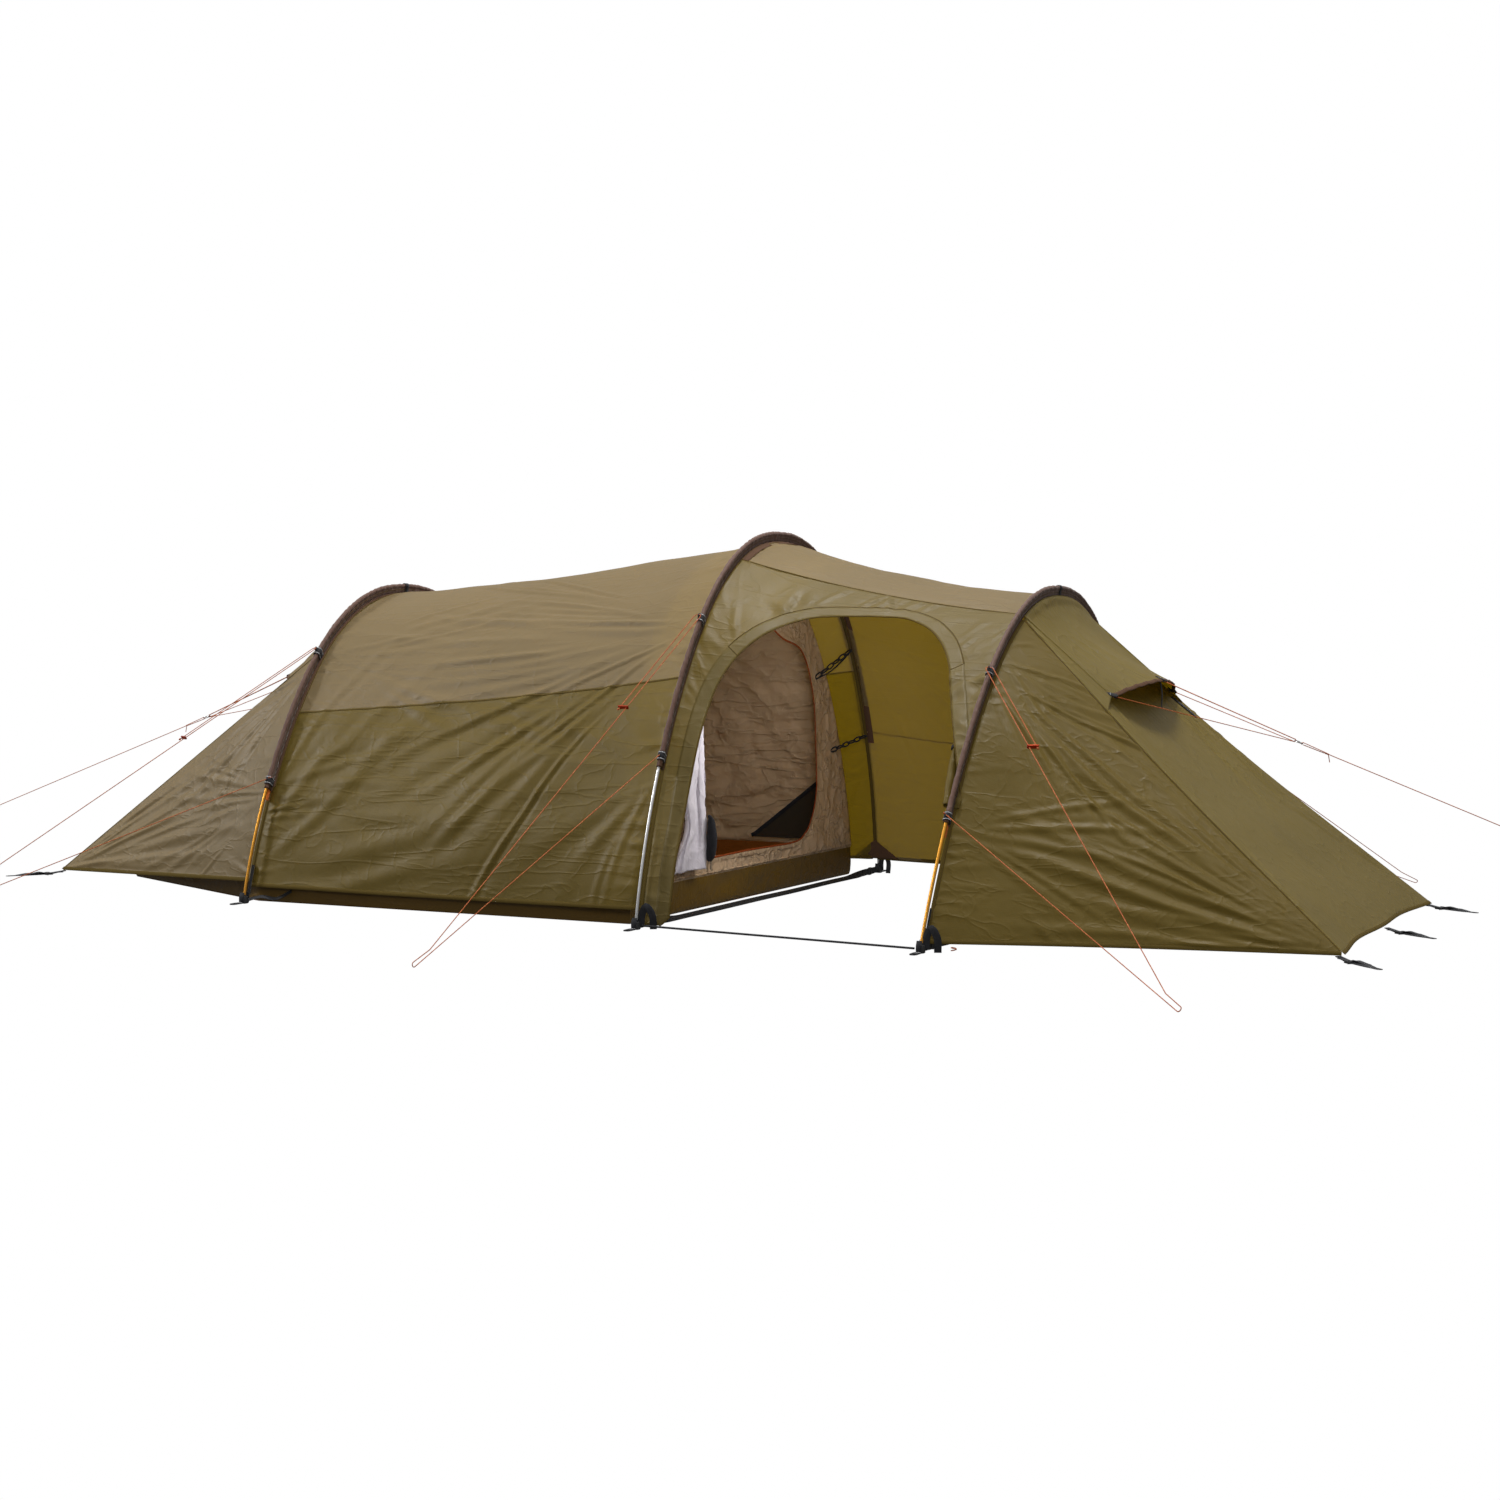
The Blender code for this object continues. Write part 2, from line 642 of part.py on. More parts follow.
# Where each peg strap meets the hem, and its heading in degrees from +X
STRAP_ANCHORS = {
    "front_near": (Vector((2.145, -0.715, 0.005)), -48.0),
    "front_centre": (Vector((2.148, 0.0, 0.005)), -40.0),
    "front_far": (Vector((2.145, 0.715, 0.005)), -32.0),
    "rear_near": (Vector((-2.209, -0.495, 0.005)), 180.0 + 62.0),
    "rear_far": (Vector((-2.209, 0.495, 0.005)), 180.0 - 62.0),
}
PEG_STRAP_TAIL = -0.030
PEG_STRAP_END = 0.177
PEG_STRAP_WIDTH = 0.018
PEG_STRAP_THICKNESS = 0.0016
BUCKLE_SIZE = (0.022, 0.026, 0.0052)
BUCKLE_SLOT = (0.050, 0.0200, 0.0026)
BUCKLE_CENTRE = (0.030, 0.0, 0.0)


def make_end_straps():
    """Peg straps at the ground corners, each running through a ladder buckle on the hem."""
    for name, (anchor, heading) in STRAP_ANCHORS.items():
        where = Matrix.Translation(anchor) @ Matrix.Rotation(math.radians(heading), 4, "Z")
        size = (PEG_STRAP_END - PEG_STRAP_TAIL, PEG_STRAP_WIDTH, PEG_STRAP_THICKNESS)
        webbing = box_mesh("peg_webbing", size, ((PEG_STRAP_END + PEG_STRAP_TAIL) / 2, 0.0, 0.0))
        eye = box_mesh("peg_eye", (0.016, 0.008, 0.02), (PEG_STRAP_END - 0.013, 0.0, 0.0))
        strap = place(f"{name}_peg_strap", carved(webbing, cuts=[eye]), "webbing")
        strap.matrix_world = where
        frame = box_mesh("buckle_frame", BUCKLE_SIZE, BUCKLE_CENTRE)
        slot = box_mesh("buckle_slot", BUCKLE_SLOT, BUCKLE_CENTRE)
        buckle = place(f"{name}_buckle", carved(frame, cuts=[slot]), "buckle_black")
        buckle.matrix_world = where


# Guylines

GUY_HEIGHTS = {"rear": (0.370, 0.765), "middle": (0.486, 0.880), "front": (0.352, 0.738)}
GUY_PEGS = {
    "rear_near": Vector((-1.785, -1.57, 0.0)),
    "rear_far": Vector((-1.785, 1.57, 0.0)),
    "middle_near": Vector((0.078, -1.93, 0.0)),
    "middle_far": Vector((0.078, 1.93, 0.0)),
    "front_near": Vector((1.979, -1.769, 0.0)),
    "front_far": Vector((1.963, 1.50, 0.0)),
}
RUNNER_DISTANCE = {
    "rear_near": 0.52,
    "rear_far": 0.52,
    "middle_near": 0.48,
    "middle_far": 0.48,
    "front_near": 0.44,
    "front_far": 0.32,
}
KNOT_DISTANCE = 0.08
CENTRE_LINES = {
    "front": (
        FRONT_HOOD_CORNER,
        FRONT_HOOD_TIP,
        Vector((1.867, 0.0, 0.540)),
        Vector((2.475, 0.0, 0.305)),
    ),
    "rear": (
        REAR_HOOD_CORNER,
        REAR_HOOD_TIP,
        Vector((-1.955, 0.0, 0.525)),
        Vector((-2.905, 0.0, 0.170)),
    ),
}


def guy_route(hoop, side, peg, runner_distance):
    """One guyline: lower band, peg loop, through the adjuster to the upper band, and back to it."""
    low_height, high_height = GUY_HEIGHTS[hoop]
    band = HOOPS[hoop]
    places = [band.near(low_height), band.near(high_height)]
    if side == "far":
        places = [1.0 - f for f in places]
    low = band.at(places[0], LOW_BAND_OUT)
    high = band.at(places[1], HIGH_BAND_OUT)
    ground = peg + Vector((0.0, 0.0, PEG_LOOP_Z))
    down = (ground - high).normalized()
    half = Vector((0.0, 0.0, 1.0)).cross(down).normalized() * STRAND_SPACING / 2
    if (ground - half - low).length < (ground + half - low).length:
        half = -half
    back = (low - ground).normalized()
    beside, beyond = (back + down).normalized(), (down - back).normalized()
    points = [low]
    for a in np.linspace(0.0, math.pi, 7):
        points.append(ground + (beside * math.cos(a) + beyond * math.sin(a)) * PEG_LOOP_RADIUS)
    points.append(ground + half - down * 0.06)
    bend = high + down * STRAND_SPACING / 2
    for a in np.linspace(0.0, math.pi, 7):
        points.append(bend + half * math.cos(a) - down * math.sin(a) * STRAND_SPACING / 2)
    runner = high + down * runner_distance
    points.append(runner + down * 0.008 - half)
    return points, runner, down, half


def runner_mesh():
    """A flat bar with a hole near each end for the two strands of its guyline."""
    holes = []
    for side in (-0.5, 0.5):
        centre = (side * STRAND_SPACING, 0.0, 0.0)
        holes.append(rod_mesh("runner_hole", RUNNER_HOLE_RADIUS, 0.02, centre))
    return carved(box_mesh("line_runner", RUNNER_SIZE), cuts=holes)


def make_guylines():
    shared = runner_mesh()
    shared.materials.append(material("runner_red"))
    for key, peg in GUY_PEGS.items():
        hoop, side = key.split("_")
        points, runner, down, half = guy_route(hoop, side, peg, RUNNER_DISTANCE[key])
        tube(f"{key}_guyline", points, CORD_RADIUS, "cord_orange")
        adjuster = place(f"{key}_line_runner", shared, None)
        adjuster.matrix_world = frame_matrix(runner, half, down)


def round_ring(ring, line, up, side, towards):
    """Three points that take a cord through the ring and back; towards is -1 at the tent, 1 beyond."""
    clear = RING_WIRE + CORD_RADIUS + 0.0009
    wire = ring + line * RING_RADIUS * towards + side
    inside = ring + line * (RING_RADIUS - clear) * towards + side
    return [wire - up * clear, inside, wire + up * clear]


def make_centre_lines():
    """At each end: a bridle from the hood to a ring, and the line that holds the ring."""
    for name, (corner, tip, ring, end) in CENTRE_LINES.items():
        line = (end - ring).normalized()
        up = line.cross(Vector((0.0, 1.0, 0.0)))
        up = up if up.z > 0.0 else -up
        side = Vector((0.0, 0.0016, 0.0))
        obj = place(f"{name}_guy_ring", ring_mesh(f"{name}_ring"), "steel")
        obj.matrix_world = frame_matrix(ring, line, up)

        far = corner.lerp(ring, 0.02)
        near = mirrored(far)
        top = tip.lerp(ring, 0.02)
        points = [near, *round_ring(ring, line, up, -side, -1), top - side * 2]
        points += [top + side * 2, *reversed(round_ring(ring, line, up, side, -1)), far]
        tube(f"{name}_bridle", points, CORD_RADIUS, "cord_orange")

        knot = ring + line * KNOT_DISTANCE
        points = [*round_ring(ring, line, up, side * 0.0, 1), knot + up * 0.0016]
        points += [knot + line * 0.02, ring.lerp(end, 0.6), end]
        tube(f"{name}_centre_guyline", points, CORD_RADIUS, "cord_orange")


def ring_mesh(name):
    profile = bmesh.new()
    bmesh.ops.create_circle(profile, segments=8, radius=RING_WIRE)
    bmesh.ops.rotate(profile, verts=profile.verts, matrix=Matrix.Rotation(math.pi / 2, 3, "X"))
    bmesh.ops.translate(profile, verts=profile.verts, vec=(RING_RADIUS, 0.0, 0.0))
    data = bpy.data.meshes.new(name)
    profile.to_mesh(data)
    profile.free()
    obj = place(name, data, None, "cutters")
    screw = obj.modifiers.new("turn", "SCREW")
    screw.steps = screw.render_steps = 24
    screw.use_merge_vertices = True
    screw.merge_threshold = 1e-5
    made = evaluated_mesh(obj)
    bpy.data.objects.remove(obj)
    return made


def main():
    clear_scene()
    for name, hoop in HOOPS.items():
        colour = "pole_silver" if name == "middle" else "pole_gold"
        make_pole(name, hoop, SLEEVE_END_HEIGHTS[name], colour)
        make_sleeve(name, hoop, SLEEVE_END_HEIGHTS[name])
    make_main_bay()
    make_vestibule_bay()
    make_front_end()
    make_rear_end()
    make_hoods()
    make_fly_door_roll()
    make_inner_tub()
    make_inner_canopy()
    make_inner_front_wall()
    make_inner_door_roll()
    make_zip_slider()
    make_feet()
    make_width_straps()
    make_threshold_cord()
    make_end_straps()
    make_guylines()
    make_centre_lines()


main()
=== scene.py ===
"""Looks of a three-hoop tunnel tent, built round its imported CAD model.

Metres. +X points at the porch end, -Y at the side with the fly door, +Z up.
Cloth is single grids of points with tension wrinkles, given thickness; webbing, tapes and trim
are sections swept along paths; every material is made of nodes.
"""

import math

import bpy
import numpy as np
from mathutils import Matrix, Vector


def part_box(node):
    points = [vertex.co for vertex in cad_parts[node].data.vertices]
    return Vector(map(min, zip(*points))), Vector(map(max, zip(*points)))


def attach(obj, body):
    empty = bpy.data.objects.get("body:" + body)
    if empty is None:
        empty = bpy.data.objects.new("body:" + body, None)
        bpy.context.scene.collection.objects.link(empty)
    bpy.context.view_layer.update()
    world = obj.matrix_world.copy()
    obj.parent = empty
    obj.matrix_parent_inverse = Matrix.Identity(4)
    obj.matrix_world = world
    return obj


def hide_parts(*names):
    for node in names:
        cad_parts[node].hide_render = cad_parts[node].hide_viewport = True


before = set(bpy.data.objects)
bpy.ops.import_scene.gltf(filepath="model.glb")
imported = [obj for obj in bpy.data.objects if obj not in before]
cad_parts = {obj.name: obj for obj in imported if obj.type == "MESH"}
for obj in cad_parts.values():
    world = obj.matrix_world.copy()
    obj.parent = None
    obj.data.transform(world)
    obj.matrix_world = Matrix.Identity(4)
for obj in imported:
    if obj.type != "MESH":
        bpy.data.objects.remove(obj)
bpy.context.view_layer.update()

# Driving dimensions shared with the CAD
POLE_RADIUS = 0.00475
SHOULDER = 0.865
FLY_INSET = 0.026
FLY_EDGE_GAP = 0.005
BAY_SAG = 0.025
INNER_INSET = 0.085
INNER_REAR_SCALE = 0.78
CORD_DIAMETER = 0.0025
LOW_BAND_OUT = 0.012
HIGH_BAND_OUT = 0.020
PEG_LOOP_Z = 0.009
PEG_LOOP_RADIUS = 0.0065
STRAND_SPACING = 0.022
RING_RADIUS = 0.012
RING_WIRE = 0.0015
KNOT_DISTANCE = 0.08

POLE_SECTIONS = 8
HOOP_SAMPLES = 1441
NORMAL_STEP = 0.006
SLEEVE_RADIUS = 0.0068
BAND_RADIUS = 0.0098
BAND_EDGE_RADIUS = 0.0106
COIL_CORD_RADIUS = 0.0010

# Heights on the hoops
SLEEVE_END_HEIGHTS = {"rear": 0.346, "middle": 0.455, "front": 0.336}
GUY_HEIGHTS = {"rear": (0.370, 0.765), "middle": (0.486, 0.880), "front": (0.352, 0.738)}
FOOT_HEIGHT = 0.014
HEM_HEIGHT = 0.058
FRONT_END_HEM_HEIGHT = 0.035
REAR_END_HEM_HEIGHT = 0.075
REAR_WALL_SEAM_HEIGHT = 0.590
MIDDLE_WALL_SEAM_HEIGHT = 0.725
MIDDLE_ROOF_SEAM_HEIGHT = 1.085
FRONT_ROOF_SEAM_HEIGHT = 0.925
FRONT_SEAM_TOP_HEIGHT = 0.915
REAR_SEAM_TOP_HEIGHT = 0.80

# Cloth and trim
CLOTH = 0.0006
THIN_CLOTH = 0.0005
SEAM_WIDTH = 0.006
SEAM_THICKNESS = 0.0006
HEM_WIDTH = 0.012
HEM_THICKNESS = 0.0014
WEBBING_THICKNESS = 0.0014
STITCH_WIDTH = 0.0012
STITCH_THICKNESS = 0.0005

ALONG = np.array((1.0, 0.0, 0.0))
ACROSS = np.array((0.0, 1.0, 0.0))
UP = np.array((0.0, 0.0, 1.0))


def unit(v):
    """Vectors of length 1 in the same directions."""
    v = np.asarray(v, float)
    return v / np.maximum(np.linalg.norm(v, axis=-1, keepdims=True), 1e-9)


def lerp(a, b, t):
    """The value a share t of the way from a to b."""
    return a + (b - a) * t


def ramp(low, high, x):
    """Smooth step from 0 at low to 1 at high."""
    t = np.clip((np.asarray(x, float) - low) / (high - low), 0.0, 1.0)
    return t * t * (3.0 - 2.0 * t)


def mirror(p):
    """Points moved to the other side of the tent."""
    return np.asarray(p, float) * (1.0, -1.0, 1.0)


class Hoop:
    """The centreline of one pole, sized from its CAD solid."""

    def __init__(self, name, foot_exponent):
        low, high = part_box(f"{name}_pole")
        height = high.z - POLE_RADIUS
        angle = np.linspace(0.0, math.pi, HOOP_SAMPLES)
        across = np.cos(angle)
        self.x = low.x + POLE_RADIUS
        self.lean = (high.x - POLE_RADIUS - self.x) / height
        half_width = (high.y - POLE_RADIUS) * 1.001
        self.y = -half_width * np.sign(across) * np.abs(across) ** SHOULDER
        self.z = height * np.abs(np.sin(angle)) ** foot_exponent
        arc = np.append(0.0, np.cumsum(np.hypot(np.diff(self.y), np.diff(self.z))))
        self.length = arc[-1]
        self.fraction = arc / arc[-1]

    def normal(self, fraction):
        """Outward direction in the hoop's plane."""
        fraction = np.asarray(fraction, float)
        ahead = np.clip(fraction + NORMAL_STEP, 0.0, 1.0)
        behind = np.clip(fraction - NORMAL_STEP, 0.0, 1.0)
        along_y = np.interp(ahead, self.fraction, self.y) - np.interp(behind, self.fraction, self.y)
        along_z = np.interp(ahead, self.fraction, self.z) - np.interp(behind, self.fraction, self.z)
        return unit(np.stack([0.0 * along_y, -along_z, along_y], -1))

    def at(self, fraction, outward=0.0, along=0.0):
        """Points at these fractions of the length, 0 at the near foot and 1 at the far foot."""
        fraction = np.asarray(fraction, float)
        y = np.interp(fraction, self.fraction, self.y)
        z = np.interp(fraction, self.fraction, self.z)
        points = np.stack([0.0 * y, y, z], -1)
        points = points + self.normal(fraction) * np.asarray(outward)[..., None]
        points[..., 0] = self.x + points[..., 2] * self.lean + along
        return points

    def near(self, height):
        """Fraction at which the near side reaches this height."""
        half = len(self.z) // 2
        return float(np.interp(height, self.z[: half + 1], self.fraction[: half + 1]))


def on_side(fraction, side):
    """A near-side fraction of a hoop, or its match on the far side."""
    return fraction if side < 0 else 1.0 - fraction


REAR = Hoop("rear", 1.62)
MIDDLE = Hoop("middle", 1.41)
FRONT = Hoop("front", 1.81)
HOOPS = {"rear": REAR, "middle": MIDDLE, "front": FRONT}


# Materials

# Places of the colour sockets on a Mix node
MIX_COLOUR_A, MIX_COLOUR_B = 6, 7
MIX_RESULT = 2


class Nodes:
    """A material and the short-hand that wires its nodes."""

    def __init__(self, name, colour, roughness, metallic=0.0, **sockets):
        self.material = bpy.data.materials.new(name)
        self.material.use_nodes = True
        self.tree = self.material.node_tree
        self.shader = self.tree.nodes["Principled BSDF"]
        self.output = self.tree.nodes["Material Output"]
        self.colour = colour
        self.shader.inputs["Base Color"].default_value = (*colour, 1.0)
        self.shader.inputs["Roughness"].default_value = roughness
        self.shader.inputs["Metallic"].default_value = metallic
        for socket, value in sockets.items():
            self.shader.inputs[socket.replace("_", " ")].default_value = value
        self.material.diffuse_color = (*colour, 1.0)

    def add(self, kind, inputs=None, **settings):
        """A new shader node, with values or links for its inputs."""
        node = self.tree.nodes.new(f"ShaderNode{kind}")
        for key, value in settings.items():
            setattr(node, key, value)
        for key, value in (inputs or {}).items():
            if isinstance(value, bpy.types.NodeSocket):
                self.tree.links.new(value, node.inputs[key])
            else:
                node.inputs[key].default_value = value
        return node

    def math(self, operation, *values):
        """The result of one Math node on these values."""
        inputs = {i: value for i, value in enumerate(values)}
        return self.add("Math", inputs, operation=operation).outputs[0]

    def where(self, scale=1.0, flat=False):
        """Object coordinates, or the cloth's own flat coordinates in metres, times scale."""
        source = self.add("UVMap") if flat else self.add("TexCoord")
        out = source.outputs["UV" if flat else "Object"]
        scale = scale if isinstance(scale, tuple) else (scale,) * 3
        return self.add("Mapping", {"Vector": out, "Scale": scale}).outputs[0]

    def noise(self, scale, detail=3.0, rough=0.55, vector=None, distortion=0.0):
        """A 0 to 1 noise over object coordinates, or over the vector given."""
        vector = vector or self.where()
        inputs = {"Vector": vector, "Scale": scale, "Detail": detail, "Roughness": rough}
        inputs["Distortion"] = distortion
        return self.add("TexNoise", inputs).outputs["Fac"]

    def vary(self, fac, dark, light):
        """Drives the colour between two tints of the base by a 0 to 1 value."""
        mix = self.add("Mix", data_type="RGBA")
        self.tree.links.new(fac, mix.inputs["Factor"])
        for place, tint in ((MIX_COLOUR_A, dark), (MIX_COLOUR_B, light)):
            made = tuple(min(c * t, 1.0) for c, t in zip(self.colour, tint))
            mix.inputs[place].default_value = (*made, 1.0)
        self.tree.links.new(mix.outputs[MIX_RESULT], self.shader.inputs["Base Color"])

    def bump(self, height, strength, distance):
        """Adds one bump on top of the ones already there."""
        inputs = {"Height": height, "Strength": strength, "Distance": distance}
        if self.shader.inputs["Normal"].is_linked:
            inputs["Normal"] = self.shader.inputs["Normal"].links[0].from_socket
        node = self.add("Bump", inputs)
        self.tree.links.new(node.outputs[0], self.shader.inputs["Normal"])

    def lets_light_through(self, share, colour):
        """Mixes in light from behind, as thin cloth shows it."""
        behind = self.add("BsdfTranslucent", {"Color": (*colour, 1.0)})
        if self.shader.inputs["Normal"].is_linked:
            normal = self.shader.inputs["Normal"].links[0].from_socket
            self.tree.links.new(normal, behind.inputs["Normal"])
        inputs = {0: share, 1: self.shader.outputs[0], 2: behind.outputs[0]}
        mix = self.add("MixShader", inputs)
        self.tree.links.new(mix.outputs[0], self.output.inputs["Surface"])


def grid_lines(m, pitch, width):
    """1 on the threads of a square grid in the cloth's flat coordinates."""
    parts = m.add("SeparateXYZ", {"Vector": m.where(1.0 / pitch, flat=True)})
    lines = []
    for axis in (0, 1):
        saw = m.math("PINGPONG", parts.outputs[axis], 0.5)
        lines.append(m.math("LESS_THAN", saw, width / pitch / 2))
    return m.math("MAXIMUM", *lines)


def thin_creases(m, scale):
    """Narrow ridges where a noise crosses its middle value, stretched by the scale's three parts."""
    field = m.noise(1.0, 2.5, 0.5, vector=m.where(scale), distortion=0.3)
    away = m.math("ABSOLUTE", m.math("SUBTRACT", field, 0.5))
    ridge = m.math("SUBTRACT", 1.0, m.math("MINIMUM", m.math("MULTIPLY", away, 16.0), 1.0))
    return m.math("MULTIPLY", ridge, ridge)


def ripstop(name, colour, behind, share, roughness=0.5, crease=0.3, sheen=0.0, run=(2.2, 15.0, 15.0)):
    """Coated ripstop: a thread grid, fine weave, packing creases and a soft sheen."""
    m = Nodes(
        name, colour, roughness, Sheen_Weight=sheen, Sheen_Roughness=0.4, Specular_IOR_Level=0.32
    )
    tone = m.noise(2.2, 4.0, 0.6)
    m.vary(tone, (0.86, 0.86, 0.84), (1.13, 1.12, 1.10))
    m.bump(grid_lines(m, 0.0055, 0.0007), 0.25, 0.0002)
    m.bump(m.noise(900.0, 2.0), 0.10, 0.0002)
    m.bump(m.noise(9.0, 6.0, 0.62, distortion=0.8), crease, 0.006)
    m.bump(thin_creases(m, run), crease, 0.0028)
    m.bump(thin_creases(m, (8.0, 8.0, 8.0)), crease, 0.0022)
    rough = m.math("MULTIPLY_ADD", m.noise(14.0), 0.16, roughness - 0.08)
    m.tree.links.new(rough, m.shader.inputs["Roughness"])
    m.lets_light_through(share, behind)
    return m.material


def webbing(name, colour, rib=0.0016, roughness=0.75):
    """Woven strap: ribs across, and a tone a little paler and darker in patches."""
    m = Nodes(name, colour, roughness, Sheen_Weight=0.05, Sheen_Roughness=0.5, Specular_IOR_Level=0.2)
    parts = m.add("SeparateXYZ", {"Vector": m.where(1.0 / rib, flat=True)})
    rows = m.math("PINGPONG", m.math("ADD", parts.outputs[0], parts.outputs[1]), 0.5)
    across = m.math("PINGPONG", m.math("SUBTRACT", parts.outputs[0], parts.outputs[1]), 0.5)
    m.bump(m.math("MULTIPLY", rows, across), 0.9, 0.0006)
    m.vary(m.noise(60.0, 4.0), (0.7, 0.7, 0.7), (1.7, 1.7, 1.7))
    return m.material


def anodised(name, colour, roughness):
    """Drawn tube: fine streaks along it and a few duller patches."""
    m = Nodes(name, colour, roughness, 1.0)
    streaks = m.noise(30.0, 3.0, vector=m.where((1.0, 1.0, 0.05)))
    rough = m.math("MULTIPLY_ADD", streaks, 0.25, roughness - 0.1)
    m.tree.links.new(rough, m.shader.inputs["Roughness"])
    m.vary(m.noise(7.0, 3.0), (0.85, 0.85, 0.85), (1.08, 1.08, 1.08))
    m.bump(m.noise(450.0), 0.05, 0.0002)
    return m.material


def moulded(name, colour, roughness=0.45):
    """Moulded plastic with a fine spark-eroded grain."""
    m = Nodes(name, colour, roughness)
    m.bump(m.noise(1400.0, 2.0), 0.25, 0.0002)
    m.vary(m.noise(40.0), (0.8, 0.8, 0.8), (1.35, 1.35, 1.35))
    return m.material


def braid(name, colour):
    """Braided cord with a pale tracer thread."""
    m = Nodes(name, colour, 0.6, Specular_IOR_Level=0.2)
    inputs = {"Vector": m.where(), "Scale": 350.0, "Distortion": 1.5}
    wave = m.add("TexWave", inputs, bands_direction="DIAGONAL")
    m.bump(wave.outputs["Fac"], 0.6, 0.0004)
    m.vary(m.math("GREATER_THAN", m.noise(160.0, 1.0), 0.6), (0.9, 0.9, 0.9), (1.2, 1.6, 1.8))
    return m.material


def netting(name, colour, open_share=0.62):
    """Fine insect net, with this share of it holes."""
    m = Nodes(name, colour, 0.8)
    m.bump(grid_lines(m, 0.002, 0.0006), 0.6, 0.0004)
    clear = m.add("BsdfTransparent")
    mix = m.add("MixShader", {0: 1.0 - open_share, 1: clear.outputs[0], 2: m.shader.outputs[0]})
    m.tree.links.new(mix.outputs[0], m.output.inputs["Surface"])
    return m.material


def stitched(name, colour, pitch=0.0035):
    """Seam tape or binding with a row of stitches near each edge."""
    m = Nodes(name, colour, 0.8, Specular_IOR_Level=0.06)
    parts = m.add("SeparateXYZ", {"Vector": m.where(1.0, flat=True)})
    dash = m.math("PINGPONG", m.math("DIVIDE", parts.outputs[1], pitch), 0.5)
    thread = m.math("GREATER_THAN", dash, 0.16)
    side = m.math("PINGPONG", m.math("DIVIDE", parts.outputs[0], 0.004), 0.5)
    row = m.math("GREATER_THAN", side, 0.40)
    stitch = m.math("MULTIPLY", thread, row)
    m.vary(stitch, (1.0, 1.0, 1.0), (0.62, 0.60, 0.58))
    m.bump(stitch, 0.5, 0.0005)
    m.bump(m.noise(900.0, 2.0), 0.15, 0.0002)
    return m.material


def reflective(name, colour):
    """Grey tape set with fine glass beads."""
    m = Nodes(name, colour, 0.35, 0.2)
    m.bump(m.add("TexVoronoi", {"Vector": m.where(), "Scale": 2500.0}).outputs["Distance"], 0.3, 0.0002)
    m.vary(m.noise(200.0), (0.8, 0.8, 0.8), (1.15, 1.15, 1.15))
    return m.material


MATERIALS = {
    # Painted light: fly_tan is the olive fly cloth made paler, a painted sky reflection for the cloths that
    # face the sky
    "fly_tan": ripstop("fly_tan", (0.200, 0.148, 0.074), (0.70, 0.55, 0.006), 0.34),
    "fly_olive": ripstop("fly_olive", (0.138, 0.096, 0.016), (0.64, 0.50, 0.004), 0.34),
    # Painted light: a lighter copy of the olive fly cloth, a painted highlight for the porch end's centre
    # panel, hood and gussets
    "fly_lit_front": ripstop(
        "fly_lit_front", (0.180, 0.134, 0.032), (0.64, 0.50, 0.004), 0.34, crease=0.5, run=(2.0, 22.0, 2.0)
    ),
    # Painted light: a paler copy of the olive fly cloth, a painted sky-lit tint for the arch round the fly
    # door
    "fly_door": ripstop("fly_door", (0.152, 0.112, 0.034), (0.64, 0.50, 0.004), 0.34),
    "sleeve": ripstop("sleeve_brown", (0.108, 0.058, 0.042), (0.10, 0.04, 0.02), 0.06, 0.7, 0.2, 0.12),
    "inner_cream": ripstop("inner_cream", (0.60, 0.44, 0.29), (0.95, 0.85, 0.75), 0.45, 0.34, 1.3),
    "inner_grey": ripstop("inner_grey", (0.72, 0.68, 0.74), (0.8, 0.76, 0.80), 0.30, 0.6, 0.3),
    "tub": ripstop("tub_brown", (0.108, 0.060, 0.008), (0.10, 0.06, 0.01), 0.06, 0.50, 0.4),
    "floor": ripstop("floor_rust", (0.17, 0.052, 0.008), (0.1, 0.04, 0.01), 0.04, 0.42, 0.6),
    "webbing": webbing("webbing_black", (0.014, 0.014, 0.016)),
    "orange_web": webbing("webbing_orange", (0.55, 0.13, 0.015)),
    "tape": stitched("seam_tape", (0.088, 0.060, 0.014)),
    "binding": stitched("binding_brown", (0.090, 0.050, 0.031)),
    "zip": stitched("zip_tape", (0.22, 0.045, 0.012), 0.0022),
    "gold": anodised("pole_gold", (0.62, 0.29, 0.040), 0.42),
    "silver": anodised("pole_silver", (0.80, 0.80, 0.80), 0.34),
    "steel": anodised("steel", (0.42, 0.42, 0.43), 0.3),
    "red": anodised("anodised_red", (0.50, 0.055, 0.015), 0.35),
    "plastic": moulded("buckle_black", (0.018, 0.018, 0.019)),
    "cord": braid("cord_orange", (0.40, 0.095, 0.026)),
    "reflective": reflective("reflective_grey", (0.45, 0.45, 0.46)),
    "net": netting("net_black", (0.02, 0.022, 0.026)),
    "dark_net": netting("net_dark", (0.030, 0.026, 0.020), 0.12),
}


# Shapes


def add_object(name, data):
    """An object of this data, linked to the scene."""
    obj = bpy.data.objects.new(name, data)
    bpy.context.scene.collection.objects.link(obj)
    return obj


def circle(radius, sides=12):
    """Outline of a circle, anticlockwise."""
    angle = np.linspace(0.0, 2.0 * math.pi, sides, endpoint=False)
    return np.stack([radius * np.cos(angle), radius * np.sin(angle)], -1)


def flat_section(width, thickness):
    """Outline of a strap: a rectangle with eased corners, anticlockwise."""
    w, t, e = width / 2, thickness / 2, min(thickness, width) * 0.28
    quarter = [(w, t - e), (w - e, t)]
    upper = quarter + [(-x, y) for x, y in reversed(quarter)]
    return np.array(upper + [(-x, -y) for x, y in upper])


